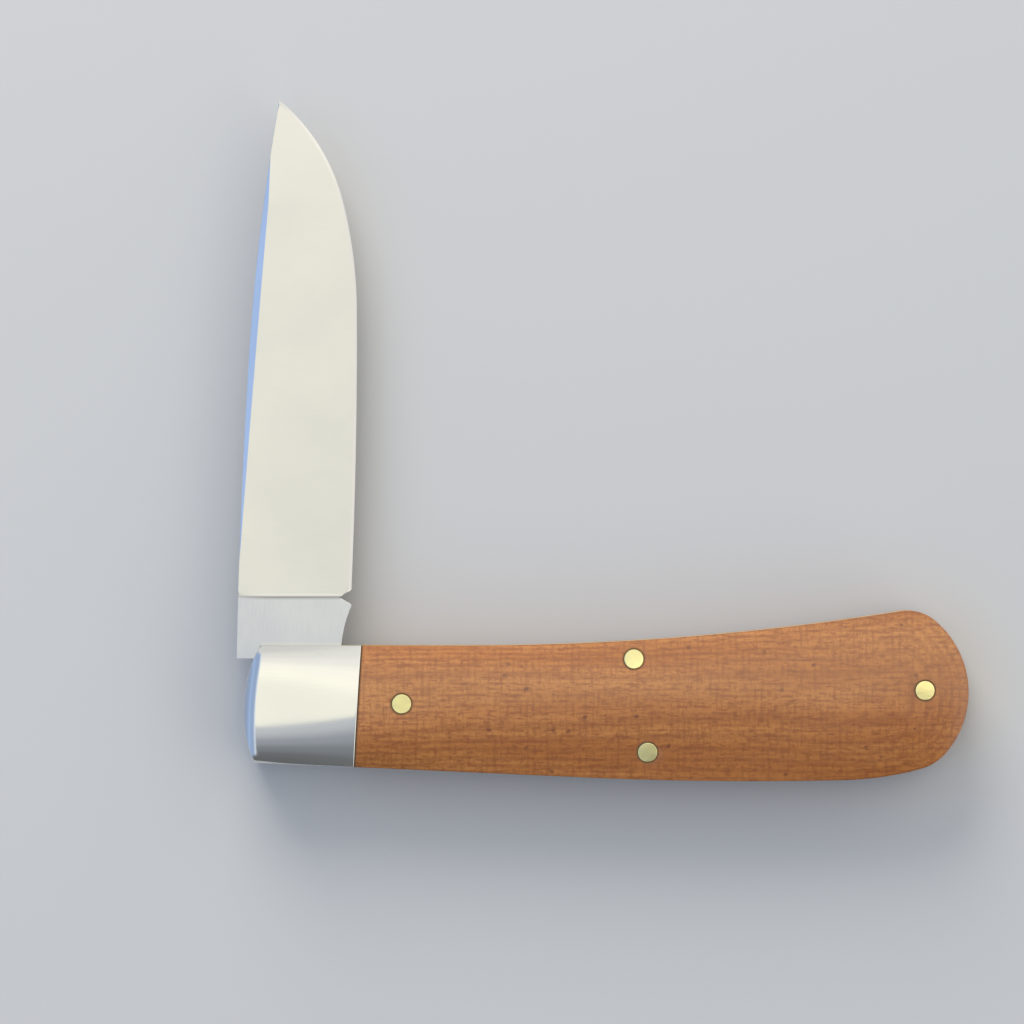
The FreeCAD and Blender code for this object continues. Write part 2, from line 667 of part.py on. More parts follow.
def grinding_wheel(name, above):
    """The whole of what is ground off one face, with the corner of the plunge rounded."""
    near_tip = tip_rise - size("point_curve_length") / 6
    heights = [plunge_rise, (plunge_rise + belly_break[1]) / 2, belly_break[1], point_break[1]]
    heights += [(point_break[1] + near_tip) / 2, near_tip]
    sections = []
    for number, rise in enumerate(heights, start=1):
        label = "%s_section_%d" % (name, number)
        sections.append(grind_section(label, above, rise, spine_x(rise), edge_x(rise), half_spine(rise)))
    # The last section lies past the tip, on the line that keeps the edge thin right up to it
    beyond = tip_rise + GRIND_OVERRUN
    last_edge = along((edge_x(near_tip), near_tip), tip, (beyond - near_tip) / (tip_rise - near_tip)
                      * math.dist((edge_x(near_tip), near_tip), tip))[0]
    last_spine = last_edge - (edge_x(near_tip) - spine_x(near_tip))
    sections.append(grind_section(
        name + "_section_end", above, beyond, last_spine, last_edge, half_spine(near_tip)))
    ground_off = doc.addObject("Part::Loft", name + "_loft")
    ground_off.Sections = sections
    ground_off.Solid = True
    ground_off.Ruled = True
    doc.recompute()
    corners = [sections[0].Placement.multVec(Vector(*point, 0)) for point in (
        (sections[0].Geometry[0].StartPoint.x, sections[0].Geometry[0].StartPoint.y),
        (sections[0].Geometry[0].EndPoint.x, sections[0].Geometry[0].EndPoint.y))]
    for number, edge in enumerate(ground_off.Shape.Edges, start=1):
        ends = [vertex.Point for vertex in edge.Vertexes]
        if all(min(end.distanceToPoint(corner) for end in ends) < 1e-6 for corner in corners):
            plunge_edge = number
    stone = doc.addObject("Part::Fillet", name)
    stone.Base = ground_off
    stone.Edges = [(plunge_edge, size("plunge_radius"), size("plunge_radius"))]
    return stone


# The swedge is a flat filed along the back of the curved spine, so it shows as a long thin lens

swedge_stop = tip_rise - size("swedge_stop_short")


def swedge_file(name, above):
    """A block whose face cuts the swedge on one side of the spine."""
    way = 1 if above else -1
    foot, head = [
        Vector(spine_x(rise), rise, middle + way * half_taper(rise))
        for rise in (size("swedge_start"), swedge_stop)
    ]
    run = (head - foot).normalize()
    outward = UP.cross(run).normalize()
    tilt = math.radians(size("swedge_tilt"))
    down_side = outward * math.cos(tilt) - UP * (way * math.sin(tilt))
    block_file = doc.addObject("Part::Box", name)
    block_file.Length = size("handle_length")
    block_file.Width = GRIND_DEPTH
    block_file.Height = GRIND_DEPTH
    turn = Rotation(run, down_side, run.cross(down_side), "XYZ")
    start = (head - foot).Length / 2 - size("handle_length") / 2
    corner = Vector(start, -GRIND_OVERRUN, 0 if above else -GRIND_DEPTH)
    block_file.Placement = Placement(foot + turn.multVec(corner), turn)
    return block_file


# The edge is sharpened by a narrow bevel on each face, carried along the curve of the edge

BEVEL_OVERRUN = 0.8
edge_path_start = on_right_of(edge_centre, size("edge_radius"), size("choil_rise") - BEVEL_OVERRUN)
past_tip = math.degrees(bearing(point_centre, tip) + 2 * BEVEL_OVERRUN / point_radius)
edge_path = doc.addObject("Sketcher::SketchObject", "edge_path")
edge_path.Placement = Placement(Vector(0, 0, middle), Rotation())
draw_chain(edge_path, edge_path_start, [
    rounded(belly_break, edge_centre, LEFT),
    rounded(point_break, blade_belly_centre, LEFT),
    rounded(polar(point_centre, point_radius, past_tip), point_centre, LEFT),
], closed=False)
bind_radius(edge_path, 0, "edge_radius")
bind_radius(edge_path, 1, "blade_belly_radius")


def sharpening_stone(name, above):
    """What is taken off one face of the edge by sharpening."""
    outward = Vector(edge_path_start[0] - edge_centre[0], edge_path_start[1] - edge_centre[1], 0)
    outward.normalize()
    profile = doc.addObject("Sketcher::SketchObject", name + "_profile")
    spot = Vector(*edge_path_start, middle)
    profile.Placement = Placement(spot, Rotation(outward, UP, outward.cross(UP), "XYZ"))
    way = 1 if above else -1
    high = size("edge_thickness") / 2
    low = size("sharp_thickness") / 2
    fall = (high - low) / size("edge_bevel") * BEVEL_OVERRUN
    inner = -size("edge_bevel") - BEVEL_OVERRUN
    corners = [
        (inner, way * (high + fall)),
        (BEVEL_OVERRUN, way * (low - fall)),
        (BEVEL_OVERRUN, way * blade_thickness),
        (inner, way * blade_thickness),
    ]
    draw_chain(profile, corners[0], [straight(corner) for corner in corners[1:] + corners[:1]])
    stone = doc.addObject("Part::Sweep", name)
    stone.Sections = [profile]
    stone.Spine = (edge_path, ["Edge1", "Edge2", "Edge3"])
    stone.Solid = True
    return stone


ground = blade_body
for side, above in (("front", True), ("rear", False)):
    ground = boolean("Cut", side + "_face_ground", ground, grinding_wheel(side + "_wheel", above))
    ground = boolean("Cut", side + "_spine_filed", ground, swedge_file(side + "_file", above))
    ground = boolean("Cut", side + "_edge_sharpened", ground, sharpening_stone(side + "_stone", above))
pivot_hole = rod("blade_pivot_hole", PIVOT, "pivot_diameter", clearance="pivot_clearance")
keep("blade", boolean("Cut", "blade_drilled", ground, pivot_hole))

# Backspring: pad under the tang, seat for the kick, thin arm, and a butt block that stays clear of
# the closed blade. Its outer side is the handle outline itself.

fold = -(90 - size("fold_short"))
tip_in = turned(tip, fold)
point_in = turned(point_centre, fold)
belly_in = turned(blade_belly_centre, fold)
point_break_in = turned(point_break, fold)
belly_break_in = turned(belly_break, fold)
kick_in = turned(kick, fold)
room = size("edge_room")

pad_front = -size("tang_step") + size("end_clearance")
pad_height = -flat_reach - size("flat_clearance")
pad_stop = pad_front + size("pad_length")
seat_height = kick_in[1] - size("kick_clearance")
seat_start = kick_in[0] - size("kick_seat") / 2
seat_stop = kick_in[0] + size("kick_seat") / 2
spring_pin = (size("spring_pin_along"), -size("spring_pin_drop"))
hump_radius = size("pin_diameter") / 2 + size("pin_wall")
HUMP_BEARING = 135.0
hump_left = polar(spring_pin, hump_radius, HUMP_BEARING)
hump_top = polar(spring_pin, hump_radius, 90)
arm_start = seat_stop + size("kick_seat") / 2
arm_stop = hump_left[0] - hump_radius - size("pin_wall")
room_at_belly = along(belly_in, belly_break_in, size("blade_belly_radius") + room)
room_at_break = along(belly_in, point_break_in, size("blade_belly_radius") + room)
room_at_tip = along(point_in, tip_in, point_radius + room)
far_top = (room_at_tip[0] + room, mouth_rise + 2 * CLEAR)
far_right = butt_end + CLEAR
far_foot = -size("back_drop") - 2 * CLEAR

spring_body = new_body("spring_blank")
spring_sketch = new_sketch(
    spring_body, "spring_outline", offset=WELL_FLOOR + " + Sizes.spring_side_clearance"
)
chain = draw_chain(spring_sketch, (pad_front, pad_height), [
    straight((pad_stop, pad_height)),
    straight((seat_start, seat_height)),
    straight((seat_stop, seat_height)),
    straight((arm_start, back_height(arm_start) + size("arm_height"))),
    straight((arm_stop, back_height(arm_stop) + size("arm_height"))),
    straight(hump_left),
    rounded(hump_top, spring_pin, RIGHT),
    straight(room_at_belly),
    rounded(room_at_break, belly_in, LEFT),
    rounded(room_at_tip, point_in, LEFT),
    straight(far_top),
    straight((far_right, far_top[1])),
    straight((far_right, far_foot)),
    straight((pad_front, far_foot)),
    straight((pad_front, pad_height)),
])
bind_reach(spring_sketch, chain[6][0], 3, "spring_pin_along")
bind_height(spring_sketch, chain[6][0], 3, "spring_pin_drop", below=True)
new_pad(spring_body, "spring_stock", spring_sketch, "Sizes.well_width - 2 * Sizes.spring_side_clearance")
spring_trimmed = boolean("Common", "spring_trimmed", blank, spring_body)
spring_holes = hole_set("spring_holes", [
    (SPRING, "pin_diameter", "spring_hole_clearance"),
    (BUTT, "pin_diameter", "spring_hole_clearance"),
])
keep("backspring", boolean("Cut", "spring_drilled", spring_trimmed, spring_holes))

doc.recompute()

for item in doc.Objects:
    if "Invalid" in item.State or "Error" in item.State:
        raise RuntimeError("%s failed: %s" % (item.Name, item.State))
for node in nodes:
    if node.Shape.isNull() or not node.Shape.isValid() or len(node.Shape.Solids) != 1:
        raise RuntimeError("%s is not one valid solid" % node.Label)

os.makedirs("parts", exist_ok=True)
for node in nodes:
    node.Shape.exportStep("parts/%s.step" % node.Label)
    box = node.Shape.BoundBox
    print("%-28s %9.2f mm3  x %7.2f %7.2f  y %7.2f %7.2f  z %6.2f %6.2f" % (
        node.Label, node.Shape.Volume, box.XMin, box.XMax, box.YMin, box.YMax, box.ZMin, box.ZMax))
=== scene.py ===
import math

import bpy
import numpy as np
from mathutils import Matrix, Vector
from mathutils.geometry import delaunay_2d_cdt


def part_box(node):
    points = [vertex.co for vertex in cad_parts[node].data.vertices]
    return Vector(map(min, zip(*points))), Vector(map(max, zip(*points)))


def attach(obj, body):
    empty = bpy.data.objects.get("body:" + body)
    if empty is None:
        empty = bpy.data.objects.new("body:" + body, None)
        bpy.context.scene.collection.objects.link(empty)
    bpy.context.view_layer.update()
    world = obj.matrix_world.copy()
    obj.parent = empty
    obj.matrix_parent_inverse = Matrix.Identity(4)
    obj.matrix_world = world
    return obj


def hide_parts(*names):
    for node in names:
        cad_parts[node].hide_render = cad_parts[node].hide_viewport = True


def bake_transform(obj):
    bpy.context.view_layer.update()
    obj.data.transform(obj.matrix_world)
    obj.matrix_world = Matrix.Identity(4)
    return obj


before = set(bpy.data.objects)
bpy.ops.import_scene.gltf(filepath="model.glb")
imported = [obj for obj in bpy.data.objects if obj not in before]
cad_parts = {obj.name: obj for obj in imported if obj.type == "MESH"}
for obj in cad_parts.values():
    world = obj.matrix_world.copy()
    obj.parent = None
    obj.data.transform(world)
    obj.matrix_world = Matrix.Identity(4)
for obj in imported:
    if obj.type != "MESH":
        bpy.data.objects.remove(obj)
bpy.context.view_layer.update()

# Liners. Two plates of sheet brass with the outline of the whole handle, to which covers and
# bolsters are pinned. Their edges are ground level with them, so only thin brass lines show.

MM = 0.001
DEGREE = math.pi / 180

nose_reach = 6.88 * MM
nose_radius = 16.28 * MM
nose_drop = 1.21 * MM
mouth_rise = 6.72 * MM
sway_start_along = 20.9 * MM
flare_rise = 4.21 * MM
flare_inset = 8.33 * MM
butt_swell = 1.13 * MM
butt_lift = 0.41 * MM
butt_corner = 5.2 * MM
back_drop = 7.905 * MM
back_slope = 2.58 * DEGREE
belly_start_along = 34.4 * MM
belly_radius = 474.0 * MM
tail_length = 15.3 * MM
tail_radius = 39.2 * MM
tail_corner = 6.5 * MM
outline_step = 0.45 * MM

butt_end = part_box("front_liner")[1].x


def toward(start, end, distance):
    """The point at a distance from start on the way to end. Points of the plane are complex, x + iy."""
    return start + (end - start) / abs(end - start) * distance


def straight(start, end, step=outline_step):
    """Even points on a straight line, without its end: start plus a share of the way."""
    count = max(1, round(abs(end - start) / step))
    return start + (end - start) * (np.arange(count) / count)


def rounded(centre, start, end, left=False, step=outline_step):
    """Even points round a centre, without the end: the start's arm turned by a share of the sweep."""
    sweep = np.angle((end - centre) / (start - centre)) % (2 * math.pi)
    if not left:
        sweep -= 2 * math.pi
    count = max(3, round(abs(sweep) * abs(start - centre) / step))
    return centre + (start - centre) * np.exp(1j * sweep * (np.arange(count) / count))


def corner_between(centre, radius, other, other_radius):
    """The right-hand crossing of two circles, looking from the first centre to the other."""
    gap = abs(other - centre)
    reach = (radius**2 - other_radius**2 + gap**2) / (2 * gap)
    half = math.sqrt(radius**2 - reach**2)
    return centre + (other - centre) / gap * (reach - 1j * half)


def back_height(x):
    """Height of the straight back edge, which falls towards the butt."""
    return -back_drop - x * math.tan(back_slope)


sway_start = complex(sway_start_along, mouth_rise)
sway_run = butt_end - flare_inset - sway_start_along
sway_radius = (sway_run**2 + flare_rise**2) / (2 * flare_rise)
sway_centre = sway_start + 1j * sway_radius
belly_start = complex(belly_start_along, back_height(belly_start_along))
belly_centre = belly_start + 1j * belly_radius * np.exp(-1j * back_slope)
tail_along = butt_end - tail_length
tail_start = complex(tail_along, belly_centre.imag - math.sqrt(
    belly_radius**2 - (tail_along - belly_centre.real) ** 2))
tail_centre = toward(tail_start, belly_centre, tail_radius)
butt_top = mouth_rise + flare_rise
butt_radius = (butt_top - tail_start.imag) / 2 + butt_swell
butt_centre = complex(butt_end - butt_radius, (butt_top + tail_start.imag) / 2 + butt_lift)
mouth_corner = corner_between(
    butt_centre, butt_radius - butt_corner, sway_centre, sway_radius + butt_corner)
back_corner = corner_between(
    butt_centre, butt_radius - tail_corner, tail_centre, tail_radius - tail_corner)
mouth_corner_start = toward(sway_centre, mouth_corner, sway_radius)
mouth_corner_stop = toward(butt_centre, mouth_corner, butt_radius)
back_corner_start = toward(tail_centre, back_corner, tail_radius)
back_corner_stop = toward(butt_centre, back_corner, butt_radius)


def mouth_to_back(mouth_end, back_end):
    """Points from the mouth edge round the butt to the back edge: tangent lines and arcs."""
    return np.concatenate([
        straight(mouth_end, sway_start),
        rounded(sway_centre, sway_start, mouth_corner_start, left=True),
        rounded(mouth_corner, mouth_corner_start, mouth_corner_stop),
        rounded(butt_centre, mouth_corner_stop, back_corner_stop),
        rounded(back_corner, back_corner_stop, back_corner_start),
        rounded(tail_centre, back_corner_start, tail_start),
        rounded(belly_centre, tail_start, belly_start),
        straight(belly_start, back_end),
        [back_end],
    ])


nose_centre = complex(nose_radius - nose_reach, -nose_drop)
nose_top = complex(nose_centre.real - math.sqrt(nose_radius**2 - (mouth_rise + nose_drop) ** 2), mouth_rise)
nose_fall = (nose_centre.imag - back_height(nose_centre.real)) * math.cos(back_slope)
nose_foot = nose_centre + nose_radius * np.exp(
    -1j * (math.pi / 2 + back_slope + math.acos(nose_fall / nose_radius)))
handle_loop = np.concatenate([
    mouth_to_back(nose_top, nose_foot)[:-1],
    rounded(nose_centre, nose_foot, nose_top),
])


def circle(centre, radius, count=64):
    """Even points round a centre, anticlockwise."""
    return centre + radius * np.exp(2j * math.pi * np.arange(count) / count)


def distance_to(points, line):
    """Distance of each point from a chain of straight pieces: the nearest foot on any of them."""
    start, way = line[:-1], np.diff(line)
    reach = points[:, None] - start
    share = np.clip((reach * way.conj()).real / abs(way) ** 2, 0, 1)
    return abs(reach - share * way).min(axis=1)


def closed(loop):
    """A loop with its first point again at its end."""
    return np.append(loop, loop[0])


def inside(points, loop):
    """Which points lie in a loop: a line to the right crosses it an odd number of times."""
    odd = np.zeros(len(points), bool)
    for start, stop in zip(loop, np.roll(loop, -1)):
        if start.imag != stop.imag:
            share = (points.imag - start.imag) / (stop.imag - start.imag)
            crossed = (start + (stop - start) * share).real > points.real
            odd ^= crossed & ((start.imag > points.imag) != (stop.imag > points.imag))
    return odd


row_share = 0.9
hole_row_share = 1.6
crease_room = 0.02 * MM
extra_room = 0.05 * MM
merge_reach = 1e-7


def region(loop, holes=(), rows=(), hole_rows=(), lattice=None, creases=(), extra=()):
    """Points and triangles over the plane inside a loop and outside round holes.

    Rows of points run at given distances inside the loop and round the holes, a square lattice fills
    the rest, and creases are lines that the triangles keep to. The loop's mitre is the sum of the two
    side normals over one plus their product. The triangles are found in millimetres, for precision.
    Also returns each point's distance from loop and holes.
    """
    if (loop.conj() * np.roll(loop, -1)).imag.sum() < 0:
        loop = loop[::-1]
    before = loop - np.roll(loop, 1)
    before = 1j * before / abs(before)
    after = np.roll(before, -1)
    mitre = (before + after) / (1 + (before * after.conj()).real)
    rims = [loop] + [circle(centre, radius) for centre, radius in holes]
    firm = rims + list(creases)
    inner_row = rows[-1] if rows else 0
    hole_room = hole_rows[-1] * hole_row_share if hole_rows else 0

    def clear(points, loop_room, hole_room=0):
        """The points that lie inside the loop and keep off its rims and creases."""
        kept = inside(points, loop) & (distance_to(points, closed(loop)) > loop_room)
        for centre, radius in holes:
            kept &= abs(points - centre) > radius + hole_room
        for crease in creases:
            kept &= distance_to(points, crease) > crease_room
        return points[kept]

    free = [clear(loop + mitre * row, row_share * row, hole_room) for row in rows]
    for centre, radius in holes:
        free += [clear(circle(centre, radius + row), inner_row) for row in hole_rows]
    if lattice:
        across = np.arange(loop.real.min(), loop.real.max(), lattice)
        along = np.arange(loop.imag.min(), loop.imag.max(), lattice)
        grid = (across[:, None] + 1j * along).ravel()
        free.append(clear(grid, inner_row + lattice / 2, hole_room + lattice / 2))
    if len(extra):
        free.append(clear(extra, extra_room))
    pairs = []
    offset = 0
    for number, chain in enumerate(firm):
        index = offset + np.arange(len(chain))
        links = np.column_stack((index, np.roll(index, -1)))
        pairs.append(links if number < len(rims) else links[:-1])
        offset += len(chain)
    points = np.concatenate(firm + free) / MM
    plan = np.column_stack((points.real, points.imag)).tolist()
    corners, _, triangles, *_ = delaunay_2d_cdt(plan, np.concatenate(pairs).tolist(), [], 0, merge_reach)
    corners = np.array(corners) * MM
    points = corners[:, 0] + 1j * corners[:, 1]
    triangles = np.array(triangles)
    middles = points[triangles].mean(axis=1)
    kept = inside(middles, loop)
    to_hole = np.full(len(points), np.inf)
    for centre, radius in holes:
        kept &= ~inside(middles, circle(centre, radius))
        to_hole = np.minimum(to_hole, abs(abs(points - centre) - radius))
    return points, triangles[kept], distance_to(points, closed(loop)), to_hole


def eased(distance, radius):
    """Height lost to a rim rounded to a radius: a quarter circle from the wall to the face."""
    short = np.clip(radius - distance, 0, radius)
    return radius - np.sqrt(radius**2 - short**2)


def eased_rows(radius):
    """Rows that follow such a rounded rim at a third and two thirds of its turn, and hold its end."""
    return [radius * (1 - math.cos(turn)) for turn in (math.pi / 6, math.pi / 3, math.pi / 2)] + [2 * radius]


sharp_turn = 35 * DEGREE
crease_reach = 1e-4 * MM


def slab(name, area, upper, lower, creases=()):
    """A solid between two heights over a region: its triangles above and below, and upright walls.

    A side of a triangle that no other triangle runs back along lies on a rim, and gets a wall. Edges
    are sharp where their faces turn by more than the sharp turn, and along the creases.
    """
    points, triangles, to_loop, to_hole = area
    count = len(points)
    plan = np.column_stack((points.real, points.imag))
    vertices = np.concatenate([np.column_stack((plan, upper)), np.column_stack((plan, lower))])
    first = triangles.ravel()
    last = np.roll(triangles, -1, axis=1).ravel()
    lone = ~np.isin(first * count + last, last * count + first)
    first, last = first[lone], last[lone]
    walls = np.column_stack((first, first + count, last + count, last))
    mesh = bpy.data.meshes.new(name)
    faces = triangles.tolist() + (triangles[:, ::-1] + count).tolist() + walls.tolist()
    mesh.from_pydata(vertices.tolist(), [], faces)
    for label, distance in (("to_loop", to_loop), ("to_hole", np.minimum(to_hole, 1.0))):
        layer = mesh.attributes.new(label, "FLOAT", "POINT")
        layer.data.foreach_set("value", np.tile(distance / MM, 2).astype(np.float32))
    mesh.shade_smooth()
    mesh.set_sharp_from_angle(angle=sharp_turn)
    ends = np.empty(2 * len(mesh.edges), np.int32)
    mesh.edges.foreach_get("vertices", ends)
    sharp = np.empty(len(mesh.edges), bool)
    mesh.edges.foreach_get("use_edge_sharp", sharp)
    for crease in creases:
        held = np.tile(distance_to(points, crease) < crease_reach, 2)
        sharp |= held[ends.reshape(-1, 2)].all(axis=1)
    mesh.edges.foreach_set("use_edge_sharp", sharp)
    piece = bpy.data.objects.new(name, mesh)
    bpy.context.scene.collection.objects.link(piece)
    return piece


pin_radius = 2.38 / 2 * MM
pivot_radius = 3.0 / 2 * MM
rivet_radius = 1.6 / 2 * MM
fit_room = 0.01 * MM
fore_spot = complex(12.5, -0.42) * MM
mouth_spot = complex(40.95, 5.07) * MM
spring_spot = complex(42.64, -6.37) * MM
butt_spot = complex(butt_end - 5.4 * MM, 1.21 * MM)
pivot_spot = 0j
rivet_spots = {"upper": complex(2.6, 4.6) * MM, "lower": complex(2.6, -4.6) * MM}
liner_break = 0.03 * MM

liner_holes = [(spot, pin_radius + fit_room) for spot in (fore_spot, mouth_spot, spring_spot, butt_spot)]
liner_holes.append((pivot_spot, pivot_radius + fit_room))
liner_holes += [(spot, rivet_radius + fit_room) for spot in rivet_spots.values()]
liner_area = region(handle_loop, liner_holes, eased_rows(liner_break))


class Finish:
    """A material in the making: nodes are placed with their inputs set or linked in one call."""

    def __init__(self, name):
        self.material = bpy.data.materials.new(name)
        self.material.use_nodes = True
        self.tree = self.material.node_tree
        self.base = self.tree.nodes["Principled BSDF"]

    def set(self, node, inputs):
        """Set or link inputs by name or number."""
        for key, value in inputs.items():
            if isinstance(value, bpy.types.NodeSocket):
                self.tree.links.new(value, node.inputs[key])
            else:
                node.inputs[key].default_value = value

    def add(self, kind, inputs, output=0, **settings):
        """Place a node and return one of its outputs."""
        node = self.tree.nodes.new("ShaderNode" + kind)
        for key, value in settings.items():
            setattr(node, key, value)
        self.set(node, inputs)
        return node.outputs[output]

    def sizes(self, scale=(1, 1, 1)):
        """Object coordinates in millimetres, times a scale."""
        place = self.add("TexCoord", {}, "Object")
        return self.add("Mapping", {"Vector": place, "Scale": [part / MM for part in scale]})

    def math(self, operation, *values):
        """One step of arithmetic on numbers or outputs."""
        return self.add("Math", dict(enumerate(values)), operation=operation)

    def spread(self, value, low, high, to_low=0.0, to_high=1.0):
        """A value carried from one span to another with soft ends."""
        return self.add("MapRange", {
            "Value": value, "From Min": low, "From Max": high, "To Min": to_low, "To Max": to_high,
        }, interpolation_type="SMOOTHSTEP")

    def noise(self, scale, detail=2.0, roughness=0.5):
        """Cloudy noise whose grain is stretched by the scale, in spots per millimetre."""
        return self.add("TexNoise", {
            "Vector": self.sizes(scale), "Scale": 1.0, "Detail": detail, "Roughness": roughness,
        })

    def mixed(self, factor, one, other, blend="MIX"):
        """Two colours mixed by a factor."""
        node = self.tree.nodes.new("ShaderNodeMix")
        node.data_type = "RGBA"
        node.blend_type = blend
        self.set(node, {0: factor, 6: one, 7: other})
        return node.outputs[2]

    def attribute(self, name):
        """A number that the mesh holds for each of its points."""
        return self.add("Attribute", {}, "Fac", attribute_name=name)

    def bumped(self, height, depth, strength=1.0):
        """A normal that reads a height from 0 to 1 as a relief of a real depth."""
        return self.add("Bump", {"Height": height, "Distance": depth, "Strength": strength})


# In finishes, widths and pitches are in millimetres, grains in spots per millimetre, shares from 0 to 1.
dulling_grain = (0.12, 0.12, 0.12)
line_share = 0.4
# Painted highlight on metal rims: its share, fading from the start to the stop distance from the outline in
# millimetres.
rim_highlight_share = 0.6
rim_highlight_start, rim_highlight_stop = 0.02, 0.16
gloss_swing = 0.15
# Painted shade in the plunge crease: its width in millimetres and its grey.
crease_shade_width = 0.4
crease_shade_grey = (0.10, 0.10, 0.11, 1)


def ground_metal(name, bright, dull, roughness, lines, depth, crease_shade=0.0):
    """Metal with fine ground lines: noise drawn out along the grind, in tone, gloss and relief.

    Soft clouds of dulling lie under the lines, and rims within a tenth of a millimetre are brighter: a
    painted highlight.
    Painted shade darkens the metal towards the zero of the attribute to_hole, which on the blade is the
    plunge crease.
    """
    finish = Finish(name)
    line = finish.noise(lines, detail=3.0)
    cloud = finish.noise(dulling_grain, detail=3.0)
    clouded = finish.math("MULTIPLY", cloud, 1 - line_share)
    tone = finish.math("ADD", finish.math("MULTIPLY", line, line_share), clouded)
    colour = finish.mixed(finish.spread(tone, 0.32, 0.68), dull, bright)
    # Painted highlight: the colour brightens towards the rims of the outline.
    rim_highlight = finish.spread(finish.attribute("to_loop"), rim_highlight_start, rim_highlight_stop, rim_highlight_share, 0.0)
    colour = finish.mixed(rim_highlight, colour, bright)
    # Painted shade: the colour greys towards the zero of to_hole.
    if crease_shade:
        crease_shade_mask = finish.spread(finish.attribute("to_hole"), 0.0, crease_shade_width, crease_shade, 0.0)
        colour = finish.mixed(crease_shade_mask, colour, crease_shade_grey)
    rough, smooth = roughness * (1 + gloss_swing), roughness * (1 - gloss_swing)
    finish.set(finish.base, {
        "Base Color": colour,
        "Metallic": 1.0,
        "Roughness": finish.spread(tone, 0.3, 0.7, rough, smooth),
        "Normal": finish.bumped(line, depth),
    })
    return finish.material


brass = (0.86, 0.70, 0.34, 1)
dull_brass = (0.70, 0.54, 0.24, 1)
liner_brass = ground_metal("liner_brass", brass, dull_brass, 0.30, (0.3, 14, 14), 0.002 * MM)


def placed(piece, body, slot, material, *nodes):
    """Give a piece its finish, hang it on the body that carries it, and hide the nodes it stands for."""
    piece.data.materials.append(material)
    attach(piece, body)
    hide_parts(*nodes)


for side in ("front", "rear"):
    low, high = (corner.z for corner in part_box(side + "_liner"))
    loss = eased(liner_area[2], liner_break)
    plate = slab(side + "_liner_plate", liner_area, high - loss, low + loss)
    placed(plate, "handle", "liner_brass", liner_brass, side + "_liner")

# Bolsters. A single pair of solid nickel silver end pieces, riveted to the liners and polished bright.
# Their shoulders are rounded along both edges, and the nose is rolled over to a crescent.

bolster_reach = 7.2 * MM
joint_slant = math.tan(3.5 * DEGREE)
crown_drop = 1.5 * MM
crown_power = 3.0
nose_power = 2.6
butt_power = -1.0
butt_ease = 35 * MM
crest_lean = 0.17
crest_ease = 14 * MM
crown_widest = 68 * MM
nose_roll = 1.55 * MM
nose_roll_depth = 0.70 * MM
nose_line_radius = 42 * MM
nose_line_lean = math.tan(2.7 * DEGREE)
bolster_break = 0.05 * MM
joint_break = 0.22 * MM
run_out = 12 * MM
bolster_step = 0.2 * MM
bolster_hole_rows = (0.15 * MM, 0.4 * MM)

handle_low, handle_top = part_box("rear_bolster")[0].z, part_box("front_bolster")[1].z
run_start = nose_top.real - run_out
shoulder_line = mouth_to_back(
    complex(run_start, mouth_rise), complex(run_start, back_height(run_start)))
joint_top = complex(bolster_reach + mouth_rise * joint_slant, mouth_rise)
joint_foot_x = (bolster_reach - back_drop * joint_slant) / (1 + math.tan(back_slope) * joint_slant)
joint_foot = complex(joint_foot_x, back_height(joint_foot_x))


def edge_heights(x):
    """Heights of the handle's mouth and back edges at a place along it, steady past the widest place."""
    x = np.minimum(x, crown_widest)
    past_sway = np.maximum(x - sway_start.real, 0)
    mouth = sway_centre.imag - np.sqrt(sway_radius**2 - past_sway**2)
    belly = belly_centre.imag - np.sqrt(belly_radius**2 - (x - belly_centre.real) ** 2)
    return mouth, np.where(x < belly_start.real, back_height(x), belly)


def crown(points):
    """Height of the handle's face: it falls from its crest by a power of the nearness to the edge.

    The power is highest at the nose, where the bolster is flat with tight shoulders, eases to the broad
    round of the covers at the joint, and a little more towards the butt. Along the covers the crest
    leans from the middle line towards the mouth, smoothly away from the joint and back before the butt.
    """
    mouth, back = edge_heights(points.real)
    half = (mouth - back) / 2
    off = (points.imag - back) / half - 1
    inner = np.minimum(points.real - bolster_reach, crown_widest - points.real)
    rise = np.clip(inner / crest_ease, 0, 1)
    lean = crest_lean * rise**2 * (3 - 2 * rise)
    near = 1 - distance_to(points, shoulder_line) / half
    near = np.clip(near + abs(off - lean * (1 - off**2)) - abs(off), 0, 1)
    ahead = np.clip((bolster_reach - points.real) / (bolster_reach - nose_top.real), 0, 1)
    behind = np.clip((points.real - bolster_reach) / butt_ease, 0, 1)
    return handle_top - crown_drop * near ** (crown_power + nose_power * ahead + butt_power * behind)


def nose_face(points):
    """The crown, less a roll over the nose that falls by the square of the distance ahead of its line.

    The line is straighter than the round nose, which therefore shows the roll as a crescent, and leans
    a little so that the crescent is widest towards the mouth.
    """
    up = points.imag - nose_centre.imag
    bend = up**2 / (2 * nose_line_radius) + up * nose_line_lean
    ahead = np.maximum(nose_roll - nose_reach + bend - points.real, 0)
    return crown(points) - nose_roll_depth * (ahead / nose_roll) ** 2


def mirrored(height):
    """The same height on the rear side of the handle."""
    return handle_low + handle_top - height


def faced(node, face, *sides):
    """Heights above and below: the crowned face on the sides named, the flat of the CAD box elsewhere."""
    low, high = (corner.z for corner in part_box(node))
    upper = face if "front" in sides else np.full_like(face, high)
    lower = mirrored(face) if "rear" in sides else np.full_like(face, low)
    return upper, lower


